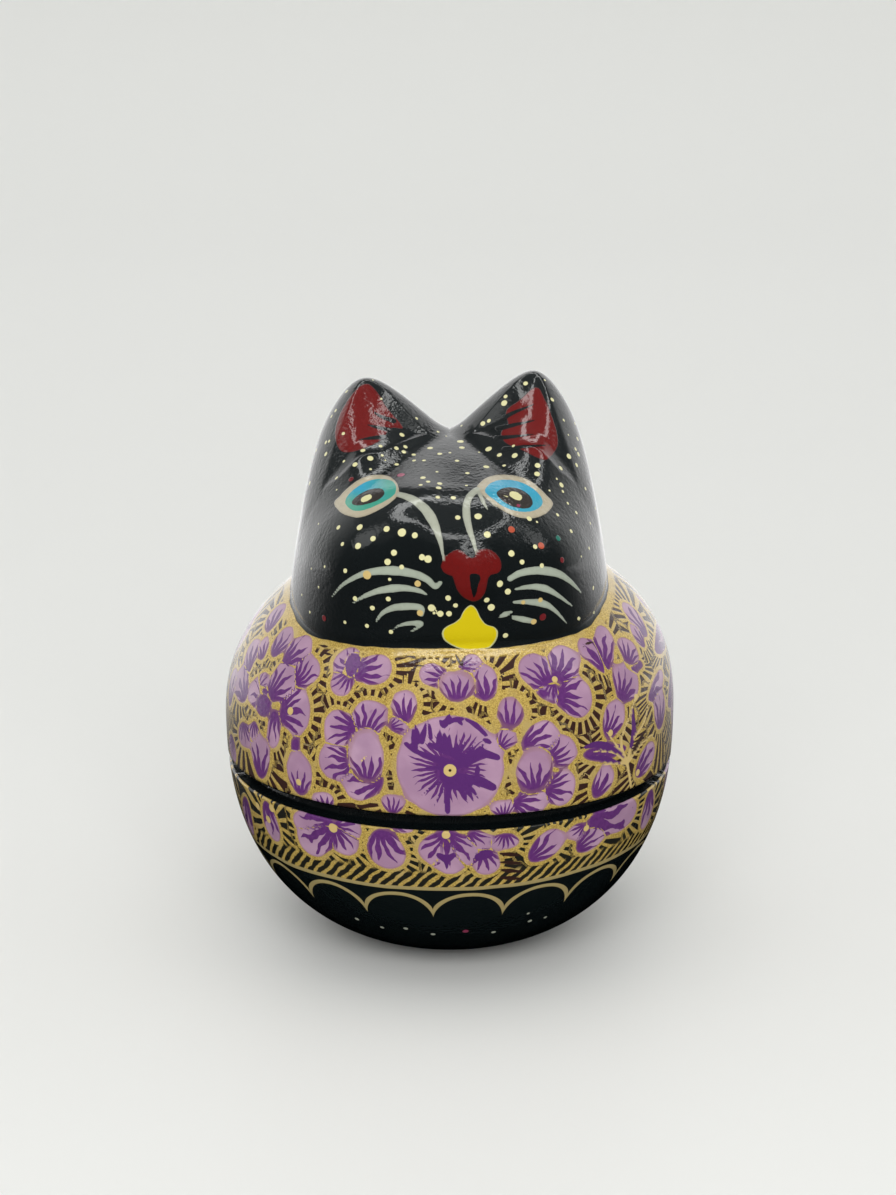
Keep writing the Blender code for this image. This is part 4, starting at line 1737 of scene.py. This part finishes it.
    @staticmethod
    def strokes() -> list[Stroke]:
        """The brush strokes on the shoulders that belong to no comb.

        Returns:
            The pansy's fingers and dark band, the stems at the side and the gaps in the collar.
        """
        at, thick = BODY_PRINT.at, BODY_PRINT.thick
        strokes = [
            Stroke(at((1200, 450), (1240, 440), (1290, 456), (1328, 482)), thick(10, 28, 10),
                   Paint.VIOLET, 0),
            Stroke(at((1212, 482), (1260, 484), (1312, 500)), thick(8, 20, 8), Paint.VIOLET, 0),
            Stroke(at((1352, 330), (1356, 400), (1342, 466)), thick(6, 16, 6), Paint.VIOLET, 0),
            Stroke(at((1390, 400), (1368, 440), (1348, 480)), thick(6, 14, 6), Paint.BROWN, 0),
            Stroke(at((484, 494), (500, 476)), thick(6, 9, 6), Paint.GOLD, 0),
        ]
        fan = (
            ((790, 1130), (870, 1320), 50), ((830, 1110), (950, 1300), 48), ((870, 1090), (1000, 1260), 44),
            ((580, 895), (310, 915), 40), ((620, 1060), (470, 1370), 36), ((540, 1060), (340, 1215), 36),
            ((530, 660), (542, 420), 56), ((600, 680), (590, 440), 50),
            ((640, 680), (657, 490), 60), ((710, 740), (790, 545), 36), ((760, 760), (852, 575), 48),
            ((830, 780), (962, 600), 44), ((890, 800), (1085, 595), 58), ((345, 600), (380, 380), 60),
            ((300, 600), (265, 395), 60), ((262, 660), (232, 450), 74), ((448, 560), (412, 335), 44),
            ((740, 330), (825, 425), 44), ((1125, 600), (1030, 565), 52), ((980, 960), (985, 865), 60),
        )
        pansy, fat = PANSY_PRINT.at, PANSY_PRINT.thick
        for start, end, width in fan:
            middle = (0.5 * (start[0] + end[0]) + 6.0, 0.5 * (start[1] + end[1]) - 4.0)
            strokes.append(Stroke(pansy(start, middle, end), fat(width, width, 6), Paint.VIOLET, 0))
        bold = (
            (((160, 620), (250, 695), (330, 730), (470, 780), (600, 830), (700, 880)), (50, 56, 130)),
            (((430, 625), (560, 680), (700, 720), (820, 800), (860, 870)), (50, 110, 60)),
            (((760, 850), (900, 800), (1030, 730), (1215, 775)), (120, 120, 70)),
            (((640, 960), (760, 1060), (900, 1060)), (180, 200, 90)),
            (((800, 1000), (1000, 1050), (1160, 1120)), (80, 120, 90)),
            (((590, 1000), (640, 1040), (700, 1060)), (90, 100, 90)),
            (((700, 1050), (645, 1200), (640, 1400)), (80, 58, 66)),
            (((560, 360), (600, 400), (660, 295)), (40, 80, 40)),
            (((600, 430), (700, 350), (820, 322)), (30, 56, 30)),
            (((850, 340), (960, 400), (1085, 520)), (30, 66, 40)),
        )
        strokes += [Stroke(pansy(*path), fat(*widths), Paint.VIOLET, 0) for path, widths in bold]
        stems = (
            ((1335, 500), (1316, 430), (1342, 350), (1362, 292)),
            ((1335, 500), (1352, 430), (1388, 370), (1404, 310)),
            ((1335, 500), (1374, 446), (1418, 404)),
            ((1335, 500), (1292, 466), (1222, 462)),
            ((1335, 500), (1300, 500), (1236, 506)),
            ((1335, 500), (1320, 470), (1270, 400)),
            ((1335, 500), (1345, 560), (1350, 610)),
        )
        strokes += [Stroke(at(*path), thick(9, 7, 5), Paint.GOLD, 0) for path in stems]
        gaps = (
            ((612, 157), (650, 161), (684, 167)),
            ((606, 180), (650, 186), (694, 190)),
            ((600, 206), (630, 210), (664, 212)),
            ((640, 236), (662, 237), (684, 236)),
            ((784, 148), (796, 172), (812, 200)),
            ((820, 150), (812, 170), (808, 190)),
            ((936, 165), (916, 186), (900, 212)),
            ((952, 196), (934, 222), (918, 252)),
            ((1236, 112), (1210, 116), (1188, 132)),
            ((340, 120), (366, 126), (388, 124)),
            ((350, 142), (378, 150), (400, 150)),
        )
        strokes += [Stroke(at(*path), thick(2, 9, 2), Paint.BROWN, 0) for path in gaps]
        return strokes

    def brushwork(self, points: Array, normals: Array) -> Array:
        """Turns the strokes on the shoulders into one layer of paint.

        Args:
            points: Places in metres.
            normals: Outward directions there.

        Returns:
            Colour and distance inside the nearest stroke, for each point.
        """
        layer = np.tile([0.0, 0.0, 0.0, -3.0], (len(points), 1))
        facing = np.einsum("ij,ij->i", normals, np.array(self.sight.place) - points) > 0.0
        rows = np.flatnonzero(facing & (points[:, 2] < self.form.neck_height + 0.003))
        paint_marks(layer, self.strokes(), self.sight.project(points[rows]), rows, 5.0)
        return layer

    def build(self) -> bpy.types.Object:
        """Builds, paints and hands over the lid.

        Returns:
            The piece.
        """
        form = self.form
        piece, painted = self.shell()
        mesh = piece.data
        points = points_of(mesh)
        normals = form.normal_at(points)
        normals[~painted] = (0.0, 0.0, -1.0)
        garden = self.garden()
        face = CatFace(form, self.sight)
        fields = garden.fields(points * MM)
        fields.update(dot_fields(points * MM, garden.dots + face.dots()))
        fields.update(face.fields(points, normals))
        fields["neck"] = form.above_neck_line(points)
        fields["brush"] = self.brushwork(points, normals)
        above = points[:, 2] - form.lid_edge_height(np.arctan2(points[:, 1], points[:, 0]))
        fields["lip"] = np.where(painted, above * MM, -1.0)
        for name, values in fields.items():
            set_field(mesh, name, values)
        bpy.ops.object.shade_smooth()
        mesh.materials.append(LacquerPaint("lacquered_cat_and_flowers", has_face=True).build())
        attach(piece, "root")
        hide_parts("cat_lid")
        LOG.info("lid: %d points, %d petals", len(points), len(garden.petals))
        return piece


@dataclass
class PaintedBowl:
    """The bowl: turned, with its collar, painted with flowers over a black scalloped foot."""

    form: CatForm
    sight: Sight
    steps: int = 460
    wall_rows: int = 100

    def outline(self) -> list[Pixel]:
        """The turned outline.

        Returns:
            Radius and height of each point, from the foot's middle round to the floor's middle.
        """
        form = self.form
        back = float(np.min(form.lid_edge_height(np.linspace(0.0, 2.0 * math.pi, 361))))
        collar_outer = float(form.body_radius(back, form.lid_wall)) - form.fit_gap
        collar_inner = collar_outer - form.collar_thickness
        collar_top = form.seam_height + form.collar_rise
        heights = form.seam_height * (1.0 - np.cos(np.linspace(0.0, 0.5 * math.pi, 900)))
        radii = form.body_radius(heights)
        walk = np.concatenate([[0.0], np.cumsum(np.hypot(np.diff(radii), np.diff(heights)))])
        even = np.linspace(0.0, walk[-1], self.wall_rows)
        foot = float(radii[0])
        points = [(0.0, 0.0), (0.25 * foot, 0.0), (0.55 * foot, 0.0), (0.85 * foot, 0.0)]
        points += [(float(np.interp(w, walk, radii)), float(np.interp(w, walk, heights))) for w in even[:-1]]
        rim, top = float(radii[-1]), form.seam_height
        soft = 0.00025
        points += [(rim - 0.1 * soft, top - soft), (rim - soft, top - 0.1 * soft), (rim - 3.0 * soft, top)]
        points += [(collar_outer + 2.0 * soft, top), (collar_outer, top + soft)]
        points += [(collar_outer, float(z)) for z in np.linspace(top + 0.001, collar_top - soft, 6)]
        points += [(collar_outer - soft, collar_top), (collar_inner + soft, collar_top)]
        points.append((collar_inner, collar_top - soft))
        for share in np.linspace(0.0, 1.0, 22):
            height = top + (form.bowl_floor - top) * math.sin(0.5 * math.pi * share)
            points.append((min(float(form.body_radius(height, form.bowl_wall)), collar_inner), height))
        floor = points[-1][0]
        points += [(0.6 * floor, form.bowl_floor), (0.25 * floor, form.bowl_floor), (0.0, form.bowl_floor)]
        return points

    def turn(self) -> bpy.types.Object:
        """Draws the outline by extruding a point, and spins it into the bowl.

        Returns:
            The piece.
        """
        bpy.ops.object.select_all(action="DESELECT")
        bpy.ops.mesh.primitive_plane_add(size=0.002)
        piece = start_piece("painted_bowl")
        bpy.ops.object.mode_set(mode="EDIT")
        bpy.ops.mesh.select_all(action="SELECT")
        bpy.ops.mesh.merge(type="CENTER")
        outline = self.outline()
        for (r0, z0), (r1, z1) in zip(outline, outline[1:]):
            bpy.ops.mesh.extrude_vertices_move(TRANSFORM_OT_translate={"value": (r1 - r0, 0.0, z1 - z0)})
        bpy.ops.mesh.select_all(action="SELECT")
        bpy.ops.mesh.spin(steps=self.steps, angle=2.0 * math.pi, center=(0.0, 0.0, 0.0), axis=(0.0, 0.0, 1.0))
        bpy.ops.mesh.select_all(action="SELECT")
        bpy.ops.mesh.remove_doubles(threshold=0.00001)
        bpy.ops.mesh.normals_make_consistent(inside=False)
        bpy.ops.object.mode_set(mode="OBJECT")
        return piece

    def set_down(self, dot: Dot) -> Dot:
        """Moves a dot onto the bowl's own skin."""
        reach = float(self.form.body_radius(dot.place[2:])[0]) / float(np.hypot(*dot.place[:2]))
        return Dot(dot.place * np.array([reach, reach, 1.0]), dot.radius, dot.colour)

    def garden(self) -> Garden:
        """Lays out the flowers that the rim cuts across.

        Returns:
            The petals and dots.
        """
        garden = Garden(self.form, self.sight)
        seen = garden.seen
        seen((266, 801), (276.6, 841), 2.6)
        seen((247, 798), (251, 832), 2.6)
        seen((333, 826), (302.6, 847), 3.4)
        seen((333, 822.6), (295, 819.6), 2.4, wash=0.3)
        seen((335, 827), (353, 854), 2.7)
        seen((336, 824), (362, 829), 2.0)
        seen((379, 829), (393, 868), 3.6)
        seen((393, 826), (414, 827.5), 1.0)
        garden.spray((446, 834), ((426, 860, 2.9), (451, 873.5, 2.8), (472, 861, 2.6)))
        seen((484.7, 851), (488.9, 873.5), 2.4)
        seen((470, 832), (489, 845), 1.6)
        seen((505.5, 833), (504.6, 849), 2.6, wash=0.3)
        seen((529, 860), (561, 831), 2.9)
        seen((576, 850), (604, 828), 2.5)
        seen((584, 824.6), (569, 836), 1.5, wash=0.4)
        seen((589, 821), (635.6, 809.7), 3.6)
        seen((650, 790), (644, 828), 2.6)
        garden.seen_dots(((333, 828, 0.95), (446, 835, 0.8), (585.9, 827.9, 0.65)), Paint.GOLD)
        garden.seen_dots(((258, 806, 0.8), (272, 808, 0.8), (269, 819, 0.8)), Paint.GOLD)
        garden.seen_dots(((404, 931, 0.45), (432, 938, 0.45), (497, 937, 0.45), (535, 925, 0.45),
                          (553, 922, 0.35), (528, 913, 0.3), (376, 933, 0.4), (349, 924, 0.45)),
                          Paint.BRUSH_WHITE)
        garden.seen_dots(((466, 933, 0.6),), Paint.PINK)
        garden.dots = [self.set_down(dot) for dot in garden.dots]
        for k in range(8):
            azimuth = -6.0 + 25.0 * k
            garden.rosette(azimuth, 0.0350, 7.8, 5, 28.0 + 41.0 * k)
            garden.rosette(azimuth + 12.5, 0.0300, 3.3, 1, 90.0 + 24.0 * (k % 3 - 1))
            place = self.form.skin_at(azimuth + 6.0, 0.0085)
            garden.dots.append(Dot(place, 0.32, linear(Paint.BRUSH_WHITE.value)))
        return garden

    def brushwork(self, points: Array) -> Array:
        """The brush strokes on the bowl's front that belong to no comb.

        Args:
            points: Places in metres.

        Returns:
            Colour and distance inside the nearest stroke, for each point.
        """
        at, thick = BODY_PRINT.at, BODY_PRINT.thick
        strokes = [
            Stroke(at((732, 794), (757, 806), (783, 792)), thick(16, 26, 14), Paint.VIOLET, 0),
            Stroke(at((757, 806), (758, 836)), thick(18, 14, 8), Paint.VIOLET, 0),
            Stroke(at((858, 802), (880, 792), (898, 790)), thick(24, 30, 20), Paint.VIOLET, 0),
        ]
        for down in (790.0, 816.0, 842.0, 866.0):
            path = ((928.0, down), (960.0, down + 2.0), (1000.0, down + 4.0))
            strokes.append(Stroke(at(*path), thick(6, 14, 6), Paint.BROWN, 0))
        layer = np.tile([0.0, 0.0, 0.0, -3.0], (len(points), 1))
        radius = np.hypot(points[:, 0], points[:, 1])
        outside = radius > self.form.body_radius(points[:, 2]) - 0.0003
        rows = np.flatnonzero(outside & (points[:, 1] < -0.01))
        paint_marks(layer, strokes, self.sight.project(points[rows]), rows, 5.0)
        return layer

    def build(self) -> bpy.types.Object:
        """Builds, paints and hands over the bowl.

        Returns:
            The piece.
        """
        form = self.form
        piece = self.turn()
        mesh = piece.data
        points = points_of(mesh)
        garden = self.garden()
        fields = garden.fields(points * MM)
        fields.update(dot_fields(points * MM, garden.dots))
        radius = np.hypot(points[:, 0], points[:, 1])
        skin = (radius > form.body_radius(points[:, 2]) - 0.0002) & (points[:, 2] < form.seam_height - 0.0001)
        on_top = (points[:, 2] > form.seam_height - 0.0004) & (points[:, 2] < form.seam_height + 0.0002)
        on_top = on_top & (radius > float(radius.max()) - 0.0005)
        fields["lip"] = np.where(skin | on_top, 1.0, -1.0)
        fields["brush"] = self.brushwork(points)
        for name, values in fields.items():
            set_field(mesh, name, values)
        bpy.ops.object.shade_smooth()
        mesh.materials.append(LacquerPaint("lacquered_bowl_flowers", has_face=False).build())
        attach(piece, "root")
        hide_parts("base_bowl")
        LOG.info("bowl: %d points, %d petals", len(points), len(garden.petals))
        return piece


@dataclass
class Studio:
    """The pale table and wall, the soft lights and the camera."""

    sight: Sight
    exposure: float = 0.0
    ring_strength: float = 5.0
    daylight: float = 0.70
    front_power: float = 9.5
    top_power: float = 1.6

    def sweep(self) -> bpy.types.Object:
        """Builds the table that curves up into the wall behind, its far floor painted lighter as painted
        light and its wall painted darker as painted shade.

        Returns:
            The sweep.
        """
        bpy.ops.object.select_all(action="DESELECT")
        bpy.ops.mesh.primitive_plane_add(size=3.0, location=(0.0, -0.6, 0.0))
        sweep = start_piece("studio_sweep")
        bpy.ops.object.mode_set(mode="EDIT")
        bpy.ops.mesh.select_mode(type="EDGE")
        bpy.ops.mesh.select_all(action="DESELECT")
        bpy.ops.object.mode_set(mode="OBJECT")
        for edge in sweep.data.edges:
            ends = [sweep.data.vertices[i].co.y for i in edge.vertices]
            edge.select = min(ends) > 1.4
        bpy.ops.object.mode_set(mode="EDIT")
        radius, bends = 0.55, 10
        for k in range(bends):
            a, b = (0.5 * math.pi * (k + i) / bends for i in (0, 1))
            move = (0.0, radius * (math.sin(b) - math.sin(a)), radius * (math.cos(a) - math.cos(b)))
            bpy.ops.mesh.extrude_region_move(TRANSFORM_OT_translate={"value": move})
        bpy.ops.mesh.extrude_region_move(TRANSFORM_OT_translate={"value": (0.0, 0.0, 1.8)})
        bpy.ops.object.mode_set(mode="OBJECT")
        bpy.ops.object.shade_smooth()
        material = bpy.data.materials.new("pale_sweep")
        material.use_nodes = True
        shader = material.node_tree.nodes["Principled BSDF"]
        graph = Graph(material.node_tree)
        grain_and_painted_light = graph.mix(graph.noise(6.0, 2.0), (0.775, 0.775, 0.755), (0.80, 0.80, 0.78))
        _, y, z = graph.split(graph.node("ShaderNodeNewGeometry").outputs["Position"])
        # Painted light and shade: the far floor is painted lighter and the wall darker than the table, over
        # the random grain.
        grain_and_painted_light = graph.mix(graph.step(y, 0.1, 0.9), grain_and_painted_light, (0.90, 0.90, 0.88))
        grain_and_painted_light = graph.mix(graph.step(z, 0.01, 0.35), grain_and_painted_light, (0.755, 0.75, 0.725))
        graph.feed(shader.inputs["Base Color"], grain_and_painted_light)
        shader.inputs["Roughness"].default_value = 0.55
        sweep.data.materials.append(material)
        self.seen_in_lacquer(graph, shader)
        return sweep

    @staticmethod
    def seen_in_lacquer(graph: Graph, shader: bpy.types.Node) -> None:
        """Gives the sweep a painted reflection: for glossy rays it glows, dark by the foot as a painted
        contact shadow, and dark in front.

        Args:
            graph: The sweep's node tree.
            shader: Its plain surface.
        """
        x, y, z = graph.split(graph.node("ShaderNodeNewGeometry").outputs["Position"])
        spread = graph.math("SQRT", graph.plus(graph.times(x, x), graph.times(y, y)))
        # Painted reflection: bright behind, faint in front, with a painted contact shadow by the foot and
        # nothing up the high wall.
        painted_reflection_glow = graph.plus(0.05, graph.times(graph.step(y, -0.04, 0.40), 1.15))
        painted_reflection_glow = graph.times(painted_reflection_glow, graph.step(spread, 0.05, 0.20))
        painted_reflection_glow = graph.times(painted_reflection_glow, graph.rest_of(graph.step(z, 1.35, 1.65)))
        # An emission standing in for the sweep's reflection, not a lamp.
        lamp = graph.node("ShaderNodeEmission")
        graph.feed(lamp.inputs["Strength"], painted_reflection_glow)
        both = graph.node("ShaderNodeMixShader")
        graph.feed(both.inputs[0], graph.node("ShaderNodeLightPath").outputs["Is Glossy Ray"])
        graph.feed(both.inputs[1], shader.outputs[0])
        graph.feed(both.inputs[2], lamp.outputs[0])
        ends = [node for node in graph.tree.nodes if node.type == "OUTPUT_MATERIAL"]
        graph.feed(ends[0].inputs["Surface"], both.outputs[0])

    @staticmethod
    def area(name: str, place: tuple[float, float, float], size: tuple[float, float], power: float) -> None:
        """Hangs one soft light that looks at the box.

        Args:
            name: Its name.
            place: Where it hangs.
            size: Its width and height.
            power: Its power in watts.
        """
        lamp = bpy.data.lights.new(name, "AREA")
        lamp.shape = "RECTANGLE"
        lamp.size, lamp.size_y = size
        lamp.energy = power
        light = bpy.data.objects.new(name, lamp)
        bpy.context.scene.collection.objects.link(light)
        light.location = place
        away = np.array(place) - np.array([0.0, 0.0, 0.06])
        light.rotation_mode = "QUATERNION"
        light.rotation_quaternion = Vector(away).to_track_quat("Z", "Y")
        light.visible_glossy = False

    def world(self) -> None:
        """Sets the room: a pale wall behind, dark behind the camera, a ring lamp and two windows."""
        world = bpy.data.worlds.new("soft_room")
        bpy.context.scene.world = world
        world.use_nodes = True
        graph = Graph(world.node_tree)
        background = world.node_tree.nodes["Background"]
        x, y, z = graph.split(graph.node("ShaderNodeTexCoord").outputs["Generated"])
        wall = graph.plus(0.05, graph.times(graph.step(y, -0.05, 0.85), 1.2))
        overhead = graph.step(z, 0.64, 0.70)
        room = graph.plus(graph.times(wall, graph.rest_of(overhead)),
                          graph.times(overhead, 0.16))
        across = graph.minus(x, 0.03)
        spread = graph.math("SQRT", graph.plus(graph.times(across, across),
                                               graph.times(y, y)))
        ring = graph.math("ABSOLUTE", graph.minus(spread, 0.43))
        ring = graph.rest_of(graph.step(ring, 0.03, 0.07))
        ring = graph.times(ring, graph.math("GREATER_THAN", z, 0.0))
        light = graph.plus(room, graph.times(ring, self.ring_strength))
        for side in (-0.72, 0.72):
            gap = [graph.math("POWER", graph.minus(axis, centre), 2.0)
                   for axis, centre in ((x, side), (y, -0.16), (z, 0.67))]
            away = graph.math("SQRT", graph.plus(graph.plus(gap[0], gap[1]), gap[2]))
            window = graph.rest_of(graph.step(away, 0.15, 0.24))
            light = graph.plus(light, graph.times(window, 1.3))
        seen = graph.node("ShaderNodeLightPath").outputs["Is Glossy Ray"]
        light = graph.plus(graph.times(light, seen),
                           graph.times(self.daylight, graph.rest_of(seen)))
        graph.feed(background.inputs["Strength"], light)
        background.inputs["Color"].default_value = (0.985, 1.0, 0.985, 1.0)

    def build(self) -> None:
        """Sets the stage, lights, world and camera."""
        self.sweep()
        self.area("soft_front", (0.0, -1.10, 0.75), (1.2, 0.6), self.front_power)
        self.area("soft_top", (0.0, -0.10, 1.05), (1.0, 0.8), self.top_power)
        self.world()
        scene = bpy.context.scene
        scene.view_settings.view_transform = "Standard"
        scene.view_settings.exposure = self.exposure
        camera_data = bpy.data.cameras.new("camera")
        camera = bpy.data.objects.new("camera", camera_data)
        scene.collection.objects.link(camera)
        camera.location = self.sight.place
        camera.rotation_euler = (math.radians(90.0 - self.sight.pitch), 0.0, 0.0)
        camera_data.sensor_width = 36.0
        camera_data.lens = self.sight.focal / self.sight.height * 36.0
        camera_data.clip_start, camera_data.clip_end = 0.01, 20.0
        scene.camera = camera
        LOG.info("studio: sweep, lights and camera")


def main() -> None:
    """Builds the box's two pieces and the studio."""
    logging.basicConfig(level=logging.INFO, format="%(name)s %(message)s")
    form, sight = CatForm(), Sight()
    PaintedBowl(form, sight).build()
    PaintedLid(form, sight).build()
    Studio(sight).build()


if __name__ == "__main__":
    main()
